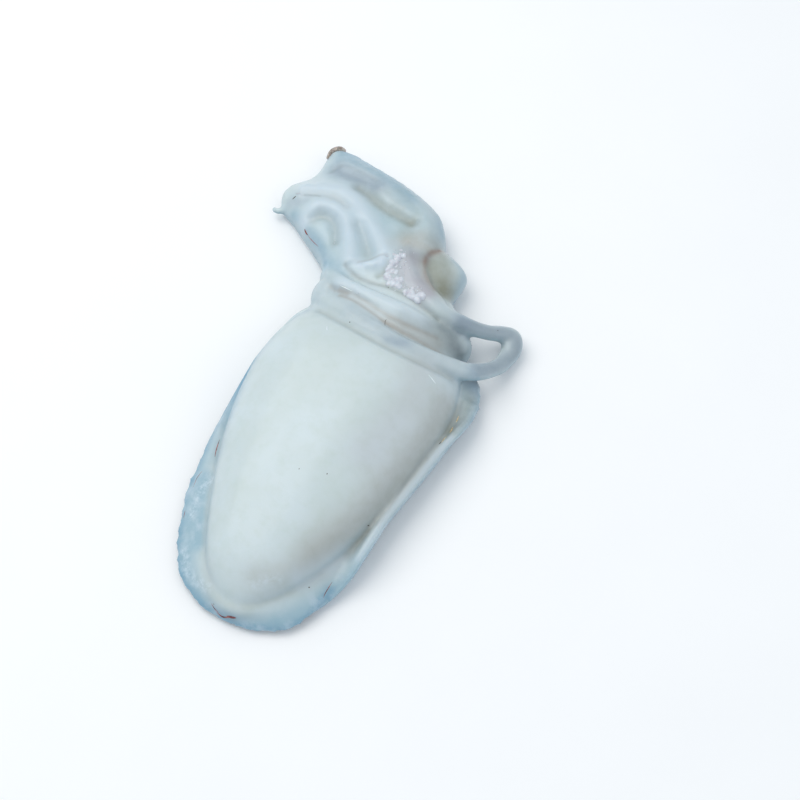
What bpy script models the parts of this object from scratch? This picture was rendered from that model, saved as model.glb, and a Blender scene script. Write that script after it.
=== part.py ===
"""A whole cuttlefish, skinned and raw, lying flat with its arms folded together past its head.

The flesh is one closed solid. Its sub-forms are made from a few sizes each, fused in one voxel
union, relaxed, creased where the folds meet, pressed flat against the table and thinned out.

Sizes are in millimetres up to the last step. +Y runs from tail to head and +Z points up.
"""

import math

import bmesh
import bpy
import numpy as np
from mathutils import Matrix

MM = 0.001

# Mantle, the big oval body
MANTLE_TAIL_Y = -66.0
MANTLE_TAIL_GAP = 0.05
MANTLE_WIDEST_Y = 42.0
MANTLE_END_Y = 84.0
MANTLE_WIDTH = 42.5
MANTLE_FRONT_REACH = 60.0
MANTLE_TAPER_POWER = 1.7
MANTLE_TAPER_ROOT = 0.58
MANTLE_RIM_Z = 10.0
MANTLE_RIM_LEAST = 0.55
MANTLE_RIM_WIDTH = 20.0
MANTLE_DOME_HEIGHT = 26.0
MANTLE_DOME_SPREAD = 0.85
MANTLE_DOME_POWER = 2.25
MANTLE_KEEL_Z = -1.5
MANTLE_LIP_START = 50.0
MANTLE_LIP_REACH = 28.0
MANTLE_LIP_DROP = 0.5
MANTLE_SECTIONS = 56
MANTLE_SECTION_SPREAD = 1.6
MANTLE_AROUND = 72

# The mantle's left side lies further from its axis than its right side
SWELL_LEAST = 2.6
SWELL_RISE = 4.6
SWELL_START = -45.0
SWELL_REACH = 75.0
SWELL_FADE = 0.06
SWELL_TAIL_WIDTH = 15.0

# The mantle's axis bends to the left towards the tail
AXIS_SHIFT = -1.0
AXIS_BEND = 6.0
AXIS_BEND_START = 60.0
AXIS_BEND_REACH = 120.0
AXIS_BEND_POWER = 1.5

# Fin, a thin frill that runs round both sides and the tail. Each station is the angle round the
# mantle (0 at the tail, positive to the right), then reach and height of its middle and its edge.
FIN_ROOT_THICKNESS = 4.0
FIN_EDGE_THICKNESS = 1.7
FIN_ROOT_DEPTH = 5.0
FIN_ROOT_DROP = 1.0
FIN_NORMAL_STEP = 1.5
FIN_STATIONS = (
    (-125.0, 1.2, 9.0, 3.0, 7.0),
    (-117.0, 2.2, 8.0, 4.6, 5.0),
    (-104.0, 1.4, 7.5, 2.8, 3.4),
    (-86.0, 1.4, 7.5, 2.8, 2.8),
    (-70.0, 3.4, 7.5, 7.0, 2.8),
    (-53.0, 6.0, 7.0, 12.4, 2.6),
    (-42.0, 6.4, 6.5, 13.2, 2.4),
    (-34.0, 6.5, 6.0, 13.4, 2.4),
    (-25.0, 5.2, 5.5, 11.2, 2.4),
    (-14.0, 3.3, 5.0, 7.5, 2.2),
    (0.0, 2.0, 4.5, 4.5, 2.0),
    (13.0, 3.5, 5.0, 7.5, 2.2),
    (24.0, 6.0, 6.0, 11.5, 2.6),
    (33.0, 6.5, 6.5, 12.0, 4.0),
    (42.0, 5.0, 7.0, 8.0, 7.0),
    (52.0, 3.4, 8.0, 4.6, 11.5),
    (62.0, 2.0, 9.0, 2.4, 14.0),
    (73.0, 1.2, 9.5, 1.6, 15.0),
    (83.0, 1.8, 9.0, 2.2, 14.5),
    (92.0, 3.0, 8.5, 5.0, 12.0),
    (101.0, 4.2, 8.0, 7.8, 9.0),
    (110.0, 5.2, 7.5, 9.6, 7.0),
    (118.0, 4.6, 8.0, 8.4, 6.5),
    (124.0, 2.8, 8.5, 5.0, 7.5),
)

# Head, a pillow of flesh over an outline. Its full height runs from the arm tips to the neck, and
# it reaches that height at a distance in from the outline.
HEAD_OUTLINE = (
    (-75.4, 158.8),
    (-75.8, 163.2),
    (-74.0, 166.4),
    (-68.6, 167.5),
    (-62.0, 167.0),
    (-55.8, 165.3),
    (-39.6, 161.0),
    (-26.3, 156.6),
    (-15.8, 152.0),
    (-8.0, 147.2),
    (-3.0, 141.0),
    (0.5, 134.0),
    (3.0, 124.0),
    (6.0, 108.0),
    (8.0, 96.0),
    (0.0, 88.0),
    (-20.0, 84.0),
    (-38.0, 86.0),
    (-45.0, 91.0),
    (-47.2, 97.5),
    (-51.3, 102.8),
    (-58.8, 108.2),
    (-66.3, 113.4),
    (-74.0, 118.6),
    (-79.5, 121.6),
    (-84.0, 126.6),
    (-85.5, 133.5),
    (-82.0, 139.6),
    (-76.7, 144.9),
    (-75.4, 151.6),
)
HEAD_TIP = (-78.0, 140.0, 12.5)
HEAD_NECK = (-8.0, 100.0, 25.0)
HEAD_SHOULDER = 13.0
HEAD_PITCH = 2.4
HEAD_PILLAR = 5.0
HEAD_LEAST_PILLAR = 1.0

# Eye lobe, a blunt angular lobe: one outline that shrinks above and below its middle
EYE_OUTLINE = (
    (-8.0, 126.6),
    (1.0, 129.6),
    (7.6, 127.6),
    (12.6, 125.2),
    (16.8, 121.8),
    (17.6, 118.4),
    (17.0, 113.0),
    (16.4, 107.4),
    (15.0, 101.5),
    (6.0, 98.5),
    (-6.0, 103.0),
    (-11.0, 112.0),
    (-11.0, 121.0),
)
EYE_CENTRE = (3.6, 115.0, 9.4)
EYE_HALF_HEIGHT = 11.6
EYE_RINGS = 25
EYE_STEEPEST = 88.0

# Blobs: centre, half axes, turn about +Z in degrees
BLOBS = {
    "neck": ((-4.0, 79.0, 12.5), (36.0, 17.0, 15.4), 3.0),
    "neck_back": ((-4.0, 92.0, 12.0), (27.0, 16.0, 13.2), 8.0),
    "neck_bulge": ((-35.0, 85.0, 10.5), (10.0, 11.0, 10.0), 0.0),
    "neck_end": ((27.0, 84.5, 9.0), (7.5, 9.0, 8.8), 0.0),
    "lens": ((-22.5, 101.5, 17.5), (7.0, 4.6, 6.8), 25.0),
}

# Limbs: the points that their middle follows, each with its radius
LIMBS = {
    "fin_ridge": (
        (24.0, -50.0, 3.4, 1.2),
        (27.6, -43.0, 4.8, 1.5),
        (30.0, -36.0, 6.8, 1.9),
        (31.4, -30.0, 9.4, 2.3),
        (32.2, -24.5, 11.8, 2.5),
        (33.2, -16.8, 13.4, 2.6),
        (34.6, -3.9, 14.3, 2.6),
        (36.8, 6.4, 14.4, 2.6),
        (38.8, 16.1, 14.4, 2.6),
        (41.3, 29.9, 13.8, 2.6),
        (44.2, 40.4, 13.4, 2.2),
        (46.0, 48.0, 12.0, 2.3),
        (47.0, 55.0, 10.4, 2.3),
        (46.4, 61.0, 9.0, 2.3),
    ),
    "fin_bed": (
        (21.5, -46.0, 3.4, 3.0),
        (25.4, -36.0, 5.0, 3.6),
        (28.0, -26.0, 7.4, 4.0),
        (29.8, -16.0, 8.8, 4.4),
        (31.2, -4.0, 9.9, 4.8),
        (33.4, 8.0, 10.1, 4.8),
        (36.0, 20.0, 10.1, 4.8),
        (38.4, 32.0, 9.8, 4.8),
        (40.6, 42.0, 9.0, 4.6),
        (41.8, 52.0, 8.2, 4.6),
        (41.0, 60.0, 7.6, 4.6),
    ),
    "tentacle": (
        (-12.0, 103.5, 20.5, 3.0),
        (-2.0, 100.5, 21.5, 4.0),
        (7.5, 96.0, 21.8, 4.9),
        (17.0, 93.0, 20.8, 4.6),
        (28.2, 93.4, 18.0, 4.0),
        (37.0, 97.0, 13.0, 3.6),
        (43.0, 101.0, 9.4, 4.0),
        (47.6, 102.2, 7.0, 4.7),
        (49.6, 98.0, 6.0, 4.9),
        (49.4, 92.4, 6.0, 4.3),
        (47.6, 84.0, 9.4, 3.8),
        (40.6, 73.4, 17.0, 4.1),
        (26.7, 67.8, 22.5, 4.9),
        (8.2, 66.6, 25.4, 5.1),
        (-6.5, 69.0, 25.3, 5.3),
        (-20.4, 73.2, 22.6, 5.4),
        (-33.2, 78.8, 17.0, 5.4),
    ),
    "flap_edge": (
        (-6.5, 124.0, 19.5, 1.6),
        (-3.2, 117.0, 20.5, 1.9),
        (-1.5, 111.0, 21.0, 2.1),
        (2.4, 105.5, 21.5, 2.3),
        (7.2, 101.0, 21.5, 2.6),
        (14.0, 97.0, 21.0, 3.0),
    ),
    "flap_middle": (
        (-13.0, 121.0, 20.5, 2.6),
        (-9.0, 111.0, 22.0, 3.0),
        (-3.0, 103.0, 22.5, 3.2),
        (5.0, 98.0, 22.0, 3.2),
    ),
    "collar": (
        (-42.5, 96.0, 9.0, 3.4),
        (-38.5, 92.6, 16.5, 3.8),
        (-30.5, 87.9, 21.0, 4.0),
        (-19.5, 85.4, 23.5, 4.2),
        (-7.3, 84.0, 24.3, 4.6),
        (3.4, 83.4, 23.8, 4.8),
        (14.0, 82.6, 21.6, 4.5),
        (23.5, 82.4, 17.6, 4.2),
        (30.0, 83.4, 12.5, 3.8),
    ),
    "nib": (
        (-78.6, 125.5, 6.5, 2.5),
        (-80.8, 122.8, 5.6, 1.8),
        (-83.2, 121.4, 5.2, 1.6),
        (-85.2, 121.9, 5.0, 1.5),
    ),
    "skin_scrap": (
        (-75.2, 156.6, 5.6, 0.9),
        (-75.0, 159.6, 6.4, 1.3),
        (-73.6, 162.6, 7.2, 1.7),
        (-71.0, 164.8, 7.6, 1.8),
        (-68.4, 165.4, 7.2, 1.4),
        (-66.8, 165.0, 6.6, 0.9),
    ),
}
BEAD_SPACING = 0.3

# Strokes that raise ridges and press creases into the skin: rise, half width, the line in plan
STROKES = {
    "right_arm": (
        1.4,
        6.0,
        ((-63.6, 156.8), (-50.0, 156.5), (-36.0, 155.1), (-22.8, 149.4), (-11.9, 140.4), (-6.0, 131.8)),
    ),
    "arm_trough": (-1.4, 4.2, ((-64.6, 151.0), (-57.7, 150.2), (-50.9, 149.4), (-42.8, 148.0))),
    "arm_valley": (
        -2.2,
        4.4,
        ((-49.9, 143.4), (-43.8, 141.3), (-36.9, 138.0), (-29.3, 135.2), (-22.5, 133.9), (-17.2, 132.6)),
    ),
    "lump_valley": (-0.6, 2.8, ((-31.0, 148.5), (-22.5, 143.5), (-16.5, 138.5), (-14.5, 133.5))),
    "arm_lump": (1.3, 6.0, ((-38.1, 145.0), (-32.2, 141.3), (-25.0, 138.0))),
    "middle_arm": (
        3.0,
        6.2,
        (
            (-73.1, 132.8),
            (-64.2, 136.3),
            (-55.8, 137.6),
            (-47.1, 133.9),
            (-37.3, 125.7),
            (-26.6, 116.3),
            (-19.0, 108.5),
        ),
    ),
    "nib_crease": (-1.2, 2.0, ((-72.3, 130.6), (-67.4, 131.6), (-61.9, 132.6), (-54.9, 132.2), (-49.0, 129.4))),
    "looped_arm": (
        2.8,
        4.8,
        (
            (-66.0, 113.5),
            (-65.6, 120.0),
            (-62.8, 125.6),
            (-57.1, 127.2),
            (-50.1, 124.6),
            (-43.3, 117.4),
            (-37.5, 108.9),
            (-34.0, 101.5),
        ),
    ),
    "looped_hollow": (-2.4, 3.0, ((-62.7, 118.3), (-58.9, 121.6), (-52.9, 121.0), (-47.8, 115.8), (-45.2, 109.6))),
    "lower_arm": (1.2, 4.0, ((-60.9, 114.7), (-54.3, 109.8), (-47.9, 102.4))),
    "arm_gap": (-2.4, 4.0, ((-38.8, 121.8), (-34.4, 117.2), (-30.0, 112.0), (-26.8, 108.0))),
    "lens_crease": (-1.0, 1.3, ((-33.0, 97.6), (-29.0, 100.6), (-25.6, 104.6), (-21.6, 107.4), (-18.4, 109.2))),
    "lens_side": (-0.8, 1.3, ((-18.4, 109.2), (-16.4, 104.4), (-15.4, 100.0), (-17.6, 97.2))),
    "lens_middle": (1.0, 3.4, ((-28.0, 99.6), (-23.5, 101.4), (-19.5, 103.6))),
    "collar_crease": (
        -0.9,
        1.4,
        (
            (-34.3, 97.4),
            (-28.4, 94.6),
            (-21.5, 93.4),
            (-9.6, 93.4),
            (1.0, 92.4),
            (9.7, 90.4),
            (16.5, 88.2),
        ),
    ),
    "band_hollow": (
        -0.4,
        2.4,
        (
            (-29.2, 83.6),
            (-21.2, 81.2),
            (-11.2, 78.4),
            (-1.0, 77.4),
            (8.0, 76.8),
            (17.0, 76.4),
            (26.0, 76.6),
            (34.0, 77.6),
        ),
    ),
    "mantle_crease": (
        -1.5,
        1.8,
        (
            (-33.5, 70.5),
            (-26.0, 67.5),
            (-12.5, 63.6),
            (0.0, 61.3),
            (10.0, 60.6),
            (22.0, 61.2),
            (34.0, 64.0),
        ),
    ),
    "left_fin_crease": (
        -0.6,
        2.4,
        (
            (-48.6, 8.0),
            (-47.0, 1.6),
            (-43.8, -10.0),
            (-40.0, -22.0),
            (-34.7, -34.0),
            (-30.0, -44.5),
            (-22.6, -57.0),
            (-15.6, -64.8),
            (-6.4, -66.8),
            (0.6, -63.4),
            (10.9, -51.7),
            (20.2, -38.4),
        ),
    ),
    "right_fin_crease": (
        -0.8,
        1.8,
        (
            (26.4, -26.5),
            (28.6, -18.5),
            (30.6, -6.9),
            (32.9, 3.4),
            (36.2, 16.8),
            (38.8, 30.8),
            (40.4, 42.5),
            (39.6, 55.5),
        ),
    ),
}
STROKE_REACH = 3.0

VOXEL = 0.9
RELAX_FACTOR = 0.5
RELAX_PASSES = 8
STROKE_RELAX_PASSES = 5
FINAL_TRIANGLES = 9800
FLOOR_SNAP = 0.2
FLESH_COLOUR = (0.72, 0.76, 0.75, 1.0)


def along(points, steps):
    """Points of a smooth curve through the given rows, by Catmull and Rom's rule."""
    rows = np.array(points, float)
    padded = np.vstack([2 * rows[0] - rows[1], rows, 2 * rows[-1] - rows[-2]])
    shares = (np.arange(steps) / steps)[:, None]
    found = []
    for i in range(len(rows) - 1):
        before, start, end, after = padded[i : i + 4]
        bend = 2 * before - 5 * start + 4 * end - after
        swing = 3 * start - before - 3 * end + after
        found.append(start + 0.5 * ((end - before) * shares + bend * shares**2 + swing * shares**3))
    return np.vstack([*found, rows[-1:]])


def evenly(points, spacing):
    """The smooth curve resampled so that neighbours are spacing times their radius apart."""
    fine = along(points, 40)
    lengths = np.linalg.norm(np.diff(fine[:, :3], axis=0), axis=1)
    travelled = np.concatenate([[0.0], np.cumsum(lengths / (spacing * fine[1:, 3]))])
    wanted = np.arange(0.0, travelled[-1], 1.0)
    columns = [np.interp(wanted, travelled, fine[:, k]) for k in range(4)]
    return np.vstack([np.stack(columns, axis=1), fine[-1]])


def right_width(y):
    """Width from the mantle's axis to its right edge at a place along it."""
    if y <= MANTLE_WIDEST_Y:
        share = min((MANTLE_WIDEST_Y - y) / (MANTLE_WIDEST_Y - MANTLE_TAIL_Y), 1.0)
        return MANTLE_WIDTH * (1 - share**MANTLE_TAPER_POWER) ** MANTLE_TAPER_ROOT
    share = (y - MANTLE_WIDEST_Y) / MANTLE_FRONT_REACH
    return MANTLE_WIDTH * math.sqrt(max(1 - share * share, 0.0))


def left_swell(y):
    """How much further the mantle's left edge lies from its axis than its right edge."""
    rise = min(max((y - SWELL_START) / SWELL_REACH, 0.0), 1.0)
    swell = SWELL_LEAST + SWELL_RISE * rise * rise * (3.0 - 2.0 * rise)
    swell -= SWELL_FADE * max(y - MANTLE_WIDEST_Y, 0.0)
    return swell * min(1.0, right_width(y) / SWELL_TAIL_WIDTH)


def half_width(y):
    """Half the mantle's width at a place along it."""
    return right_width(y) + 0.5 * left_swell(y)


def middle_x(y):
    """The mantle's middle line."""
    bend = (max(AXIS_BEND_START - y, 0.0) / AXIS_BEND_REACH) ** AXIS_BEND_POWER
    return AXIS_SHIFT - AXIS_BEND * bend - 0.5 * left_swell(y)


def dome_height(y):
    """Height of the mantle's crown above its rim."""
    share = right_width(y) / MANTLE_WIDTH
    lip = min(max((y - MANTLE_LIP_START) / MANTLE_LIP_REACH, 0.0), 1.0)
    return MANTLE_DOME_HEIGHT * share**MANTLE_DOME_SPREAD * (1 - MANTLE_LIP_DROP * lip**2)


class Shells:
    """Closed shells of points and faces, gathered to become one mesh."""

    def __init__(self):
        self.points = []
        self.faces = []
        self.count = 0

    def add(self, points, faces):
        """Takes in one closed shell."""
        self.points.append(np.asarray(points, float))
        self.faces.extend([tuple(int(i) + self.count for i in face) for face in faces])
        self.count += len(points)

    def add_rings(self, rings):
        """A tube of faces between rings of points, capped at both ends."""
        rows = np.asarray(rings, float)
        count, size = rows.shape[:2]
        faces = []
        for base in range(0, (count - 1) * size, size):
            for i in range(size):
                j = (i + 1) % size
                faces.append((base + i, base + j, base + size + j, base + size + i))
        faces.append(range(size - 1, -1, -1))
        faces.append(range((count - 1) * size, count * size))
        self.add(rows.reshape(-1, 3), faces)

    def object(self, name):
        """A new object that holds the shells."""
        mesh = bpy.data.meshes.new(name)
        mesh.from_pydata(np.vstack(self.points).tolist(), [], self.faces)
        made = bpy.data.objects.new(name, mesh)
        bpy.context.scene.collection.objects.link(made)
        return made


def unit_ball(segments, rings):
    """Points and faces of a ball of radius 1."""
    bm = bmesh.new()
    bmesh.ops.create_uvsphere(bm, u_segments=segments, v_segments=rings, radius=1.0)
    points = np.array([v.co for v in bm.verts])
    faces = [tuple(v.index for v in face.verts) for face in bm.faces]
    bm.free()
    return points, faces


def add_mantle(shells):
    """The oval body: superellipse sections from tail to neck, flat below."""
    start = MANTLE_TAIL_Y + MANTLE_TAIL_GAP
    turns = 2 * np.pi * np.arange(MANTLE_AROUND) / MANTLE_AROUND
    side = np.sign(np.cos(turns)) * np.abs(np.cos(turns)) ** (2 / MANTLE_DOME_POWER)
    rise = np.abs(np.sin(turns)) ** (2 / MANTLE_DOME_POWER)
    above = np.sin(turns) > 0
    rings = []
    for share in (np.arange(MANTLE_SECTIONS + 1) / MANTLE_SECTIONS) ** MANTLE_SECTION_SPREAD:
        y = start + (MANTLE_END_Y - start) * share
        fullness = half_width(y) / MANTLE_RIM_WIDTH
        rim = MANTLE_RIM_Z * min(1.0, MANTLE_RIM_LEAST + (1 - MANTLE_RIM_LEAST) * fullness)
        z = rim + rise * np.where(above, dome_height(y), MANTLE_KEEL_Z - rim)
        rings.append(np.stack([middle_x(y) + half_width(y) * side, np.full_like(z, y), z], axis=1))
    shells.add_rings(rings)


def rim_point(turn):
    """A point of the mantle's rim in plan, at an angle round it."""
    if abs(turn) <= math.pi / 2:
        y = MANTLE_WIDEST_Y - (MANTLE_WIDEST_Y - MANTLE_TAIL_Y) * math.cos(turn)
    else:
        y = MANTLE_WIDEST_Y + MANTLE_FRONT_REACH * math.sin(abs(turn) - math.pi / 2)
    return np.array([middle_x(y) + math.copysign(half_width(y), turn), y])


def rim_normal(turn):
    """The way out from the mantle's rim in plan."""
    step = math.radians(FIN_NORMAL_STEP)
    ahead = rim_point(turn + step) - rim_point(turn - step)
    return np.array([ahead[1], -ahead[0]]) / np.linalg.norm(ahead)


def add_fin(shells):
    """The frill: a ribbon whose section bends from the rim through its middle to its edge."""
    root_z = MANTLE_RIM_Z - FIN_ROOT_DROP
    middle_thickness = 0.5 * (FIN_ROOT_THICKNESS + FIN_EDGE_THICKNESS)
    rings = []
    for angle, mid_reach, mid_z, edge_reach, edge_z in along(FIN_STATIONS, 7):
        turn = math.radians(angle)
        base, out = rim_point(turn), rim_normal(turn)
        section = (
            (-FIN_ROOT_DEPTH, root_z, FIN_ROOT_THICKNESS),
            (0.0, root_z, FIN_ROOT_THICKNESS),
            (mid_reach, mid_z, middle_thickness),
            (edge_reach, edge_z, FIN_EDGE_THICKNESS),
        )
        line = along(section, 5)
        ahead = np.gradient(line[:, :2], axis=0)
        ahead /= np.linalg.norm(ahead, axis=1)[:, None]
        across = np.stack([-ahead[:, 1], ahead[:, 0]], axis=1) * line[:, 2:3] / 2
        loop = np.vstack([line[:, :2] + across, (line[:, :2] - across)[::-1]])
        rings.append([(*(base + out * reach), z) for reach, z in loop])
    shells.add_rings(rings)


def add_blob(shells, ball, centre, half_axes, turn):
    """An ellipsoid, turned about the vertical."""
    place = Matrix.Rotation(math.radians(turn), 3, "Z") @ Matrix.Diagonal(half_axes)
    shells.add(ball[0] @ np.array(place).T + centre, ball[1])


def add_eye_lobe(shells):
    """The lobe over the eye: rings of one outline, small above and below."""
    loop = along([*EYE_OUTLINE, EYE_OUTLINE[0]], 5)[:-1] - EYE_CENTRE[:2]
    rings = []
    for lift in np.radians(np.linspace(-EYE_STEEPEST, EYE_STEEPEST, EYE_RINGS)):
        level = np.full((len(loop), 1), EYE_HALF_HEIGHT * math.sin(lift))
        rings.append(np.hstack([loop * math.cos(lift), level]) + EYE_CENTRE)
    shells.add_rings(rings)


def add_limb(shells, bead, points):
    """A tapering limb: overlapping beads along its middle, which the union makes one."""
    for row in evenly(points, BEAD_SPACING):
        shells.add(bead[0] * row[3] + row[:3], bead[1])


def inside(spots, outline):
    """Whether each spot lies inside a closed outline, by counting crossings."""
    found = np.zeros(len(spots), bool)
    for one, other in zip(outline, np.roll(outline, -1, axis=0)):
        if one[1] == other[1]:
            continue
        spans = (one[1] > spots[:, 1]) != (other[1] > spots[:, 1])
        cut = one[0] + (spots[:, 1] - one[1]) * (other[0] - one[0]) / (other[1] - one[1])
        found ^= spans & (spots[:, 0] < cut)
    return found


def distance(spots, line):
    """Distance in plan from each spot to a line of points."""
    best = np.full(len(spots), np.inf)
    for one, other in zip(line[:-1], line[1:]):
        span = other - one
        share = np.clip((spots - one) @ span / (span @ span), 0.0, 1.0)
        best = np.minimum(best, np.linalg.norm(spots - one - share[:, None] * span, axis=1))
    return best


def add_head(shells, ball):
    """The head: upright pillars of flesh that stand close and follow the outline."""
    outline = along([*HEAD_OUTLINE, HEAD_OUTLINE[0]], 6)
    low, high = outline.min(axis=0), outline.max(axis=0)
    steps = [np.arange(low[k], high[k], HEAD_PITCH) for k in range(2)]
    spots = np.stack(np.meshgrid(*steps), axis=-1).reshape(-1, 2)
    spots = spots[inside(spots, outline[:-1])]
    reach = distance(spots, outline)
    tip, neck = np.array(HEAD_TIP), np.array(HEAD_NECK)
    way = (neck - tip)[:2]
    share = np.clip((spots - tip[:2]) @ way / (way @ way), 0.0, 1.0)
    full = tip[2] + (neck[2] - tip[2]) * share
    round_off = np.sqrt(1 - (1 - np.minimum(reach / HEAD_SHOULDER, 1.0)) ** 2)
    for (x, y), near, top in zip(spots, reach, full * round_off):
        if near > HEAD_LEAST_PILLAR:
            wide = min(near, HEAD_PILLAR)
            add_blob(shells, ball, (x, y, top / 2), (wide, wide, top / 2), 0.0)


def bake(made):
    """Replaces the object's mesh with what its modifiers make of it."""
    graph = bpy.context.evaluated_depsgraph_get()
    old = made.data
    made.data = bpy.data.meshes.new_from_object(made.evaluated_get(graph))
    made.modifiers.clear()
    bpy.data.meshes.remove(old)


def relax(body, passes):
    """Evens the skin out."""
    even = body.modifiers.new("relax", "SMOOTH")
    even.factor = RELAX_FACTOR
    even.iterations = passes
    bake(body)


def fused():
    """All the sub-forms as one closed skin, with the joins relaxed."""
    shells = Shells()
    ball, bead = unit_ball(48, 24), unit_ball(16, 10)
    add_mantle(shells)
    add_fin(shells)
    add_eye_lobe(shells)
    for centre, half_axes, turn in BLOBS.values():
        add_blob(shells, ball, centre, half_axes, turn)
    for points in LIMBS.values():
        add_limb(shells, bead, points)
    add_head(shells, bead)
    body = shells.object("cuttlefish")
    union = body.modifiers.new("union", "REMESH")
    union.mode = "VOXEL"
    union.voxel_size = VOXEL
    relax(body, RELAX_PASSES)
    return body


def read_points(body):
    """The object's points, one row each."""
    flat = np.empty(len(body.data.vertices) * 3, np.float32)
    body.data.vertices.foreach_get("co", flat)
    return flat.reshape(-1, 3).astype(float)


def write_points(body, points):
    """Puts the object's points back."""
    body.data.vertices.foreach_set("co", points.astype(np.float32).ravel())
    body.data.update()


def stroke(body):
    """Presses every crease and raises every ridge on the skin that looks up."""
    points = read_points(body)
    normals = np.empty(len(points) * 3, np.float32)
    body.data.vertices.foreach_get("normal", normals)
    facing = np.clip(normals.reshape(-1, 3)[:, 2].astype(float), 0.0, 1.0)
    shift = np.zeros(len(points))
    for rise, half, line in STROKES.values():
        curve = along(line, 4)
        low = curve.min(axis=0) - STROKE_REACH * half
        high = curve.max(axis=0) + STROKE_REACH * half
        near = np.all((points[:, :2] > low) & (points[:, :2] < high), axis=1)
        gaps = distance(points[near, :2], curve)
        shift[near] += rise * np.exp(-((gaps / half) ** 2))
    points[:, 2] += shift * facing
    write_points(body, points)


def press_flat(body):
    """Cuts off what lies below the table."""
    points = read_points(body)
    points[:, 2] = np.maximum(points[:, 2], 0.0)
    write_points(body, points)


def thin_out(body):
    """Lowers the number of triangles."""
    thin = body.modifiers.new("thin", "DECIMATE")
    thin.ratio = FINAL_TRIANGLES / (2 * len(body.data.polygons))
    bake(body)


def place(body):
    """Centres the body in plan, snaps its lowest faces to the table and turns it to metres."""
    points = read_points(body)
    points[:, :2] -= (points[:, :2].min(axis=0) + points[:, :2].max(axis=0)) / 2
    points[points[:, 2] < FLOOR_SNAP, 2] = 0.0
    write_points(body, points * MM)


def main():
    for old in list(bpy.data.objects):
        bpy.data.objects.remove(old)
    body = fused()
    stroke(body)
    relax(body, STROKE_RELAX_PASSES)
    press_flat(body)
    thin_out(body)
    place(body)
    flesh = bpy.data.materials.new("flesh")
    flesh.diffuse_color = FLESH_COLOUR
    body.data.materials.append(flesh)


main()
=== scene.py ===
"""Looks for a whole raw cuttlefish, skinned and lying flat, its arms folded together past its head.

Sizes are in millimetres in a layout frame, where +Y runs from tail to head along the mantle and
+Z points up from the table. PLAN_CENTRE moves the layout frame onto the part's own frame.
"""

import logging
import math
from collections.abc import Iterable, Sequence
from dataclasses import dataclass, field
from enum import Enum

import bmesh
import bpy
import numpy as np
from mathutils import Matrix, Vector
from mathutils.bvhtree import BVHTree


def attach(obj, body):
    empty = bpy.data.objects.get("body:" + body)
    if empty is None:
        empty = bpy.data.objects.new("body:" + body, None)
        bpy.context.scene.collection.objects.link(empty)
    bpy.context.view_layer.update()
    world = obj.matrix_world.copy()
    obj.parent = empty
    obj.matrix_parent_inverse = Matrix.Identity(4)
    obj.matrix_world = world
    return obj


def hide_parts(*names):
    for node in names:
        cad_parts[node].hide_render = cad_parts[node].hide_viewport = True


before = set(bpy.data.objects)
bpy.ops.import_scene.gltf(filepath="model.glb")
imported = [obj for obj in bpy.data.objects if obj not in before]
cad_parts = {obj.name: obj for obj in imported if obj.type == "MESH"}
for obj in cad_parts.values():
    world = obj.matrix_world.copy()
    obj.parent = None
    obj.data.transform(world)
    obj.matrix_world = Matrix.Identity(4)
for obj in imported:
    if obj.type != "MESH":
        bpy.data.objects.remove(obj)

LOG = logging.getLogger("cuttlefish")

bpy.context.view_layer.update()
MM = 0.001
PLAN_CENTRE = (-15.98, 48.47)
NODE = "cuttlefish"
BODY = "root"
FULL_TURN = 360.0
BEAD_STEPS = 40
STROKE_STEPS = 4
STROKE_REACH = 3.0

Place = tuple[float, float]
Point = tuple[float, float, float]
Row = tuple[float, float, float, float]
Colour = tuple[float, float, float]


# Curves, outlines and colours


def smooth_line(points: Sequence[Sequence[float]], steps: int) -> np.ndarray:
    """Runs a smooth curve through rows of numbers, by Catmull and Rom's rule.

    Args:
        points: The rows that the curve passes through.
        steps: How many pieces each span is cut into.

    Returns:
        One row for each point of the curve.
    """
    rows = np.array(points, float)
    padded = np.vstack([2 * rows[0] - rows[1], rows, 2 * rows[-1] - rows[-2]])
    shares = (np.arange(steps) / steps)[:, None]
    found = []
    for i in range(len(rows) - 1):
        before, start, end, after = padded[i : i + 4]
        bend = 2 * before - 5 * start + 4 * end - after
        swing = 3 * start - before - 3 * end + after
        found.append(start + 0.5 * ((end - before) * shares + bend * shares**2 + swing * shares**3))
    return np.vstack([*found, rows[-1:]])


def spaced_beads(points: Sequence[Row], spacing: float) -> np.ndarray:
    """Resamples a curve of beads so that neighbours overlap evenly.

    Args:
        points: Rows of place and radius.
        spacing: Distance between neighbours, as a share of their radius.

    Returns:
        One row of place and radius for each bead.
    """
    fine = smooth_line(points, BEAD_STEPS)
    lengths = np.linalg.norm(np.diff(fine[:, :3], axis=0), axis=1)
    travelled = np.concatenate([[0.0], np.cumsum(lengths / (spacing * fine[1:, 3]))])
    wanted = np.arange(0.0, travelled[-1], 1.0)
    columns = [np.interp(wanted, travelled, fine[:, k]) for k in range(4)]
    return np.vstack([np.stack(columns, axis=1), fine[-1]])


def plan_gap(spots: np.ndarray, line: np.ndarray) -> np.ndarray:
    """Measures the distance in plan from each spot to a line.

    Args:
        spots: Places in plan, one row each.
        line: Points of the line, in order.

    Returns:
        One distance for each spot.
    """
    best = np.full(len(spots), np.inf)
    for one, other in zip(line[:-1], line[1:]):
        span = other - one
        share = np.clip((spots - one) @ span / (span @ span), 0.0, 1.0)
        best = np.minimum(best, np.linalg.norm(spots - one - share[:, None] * span, axis=1))
    return best


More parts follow.
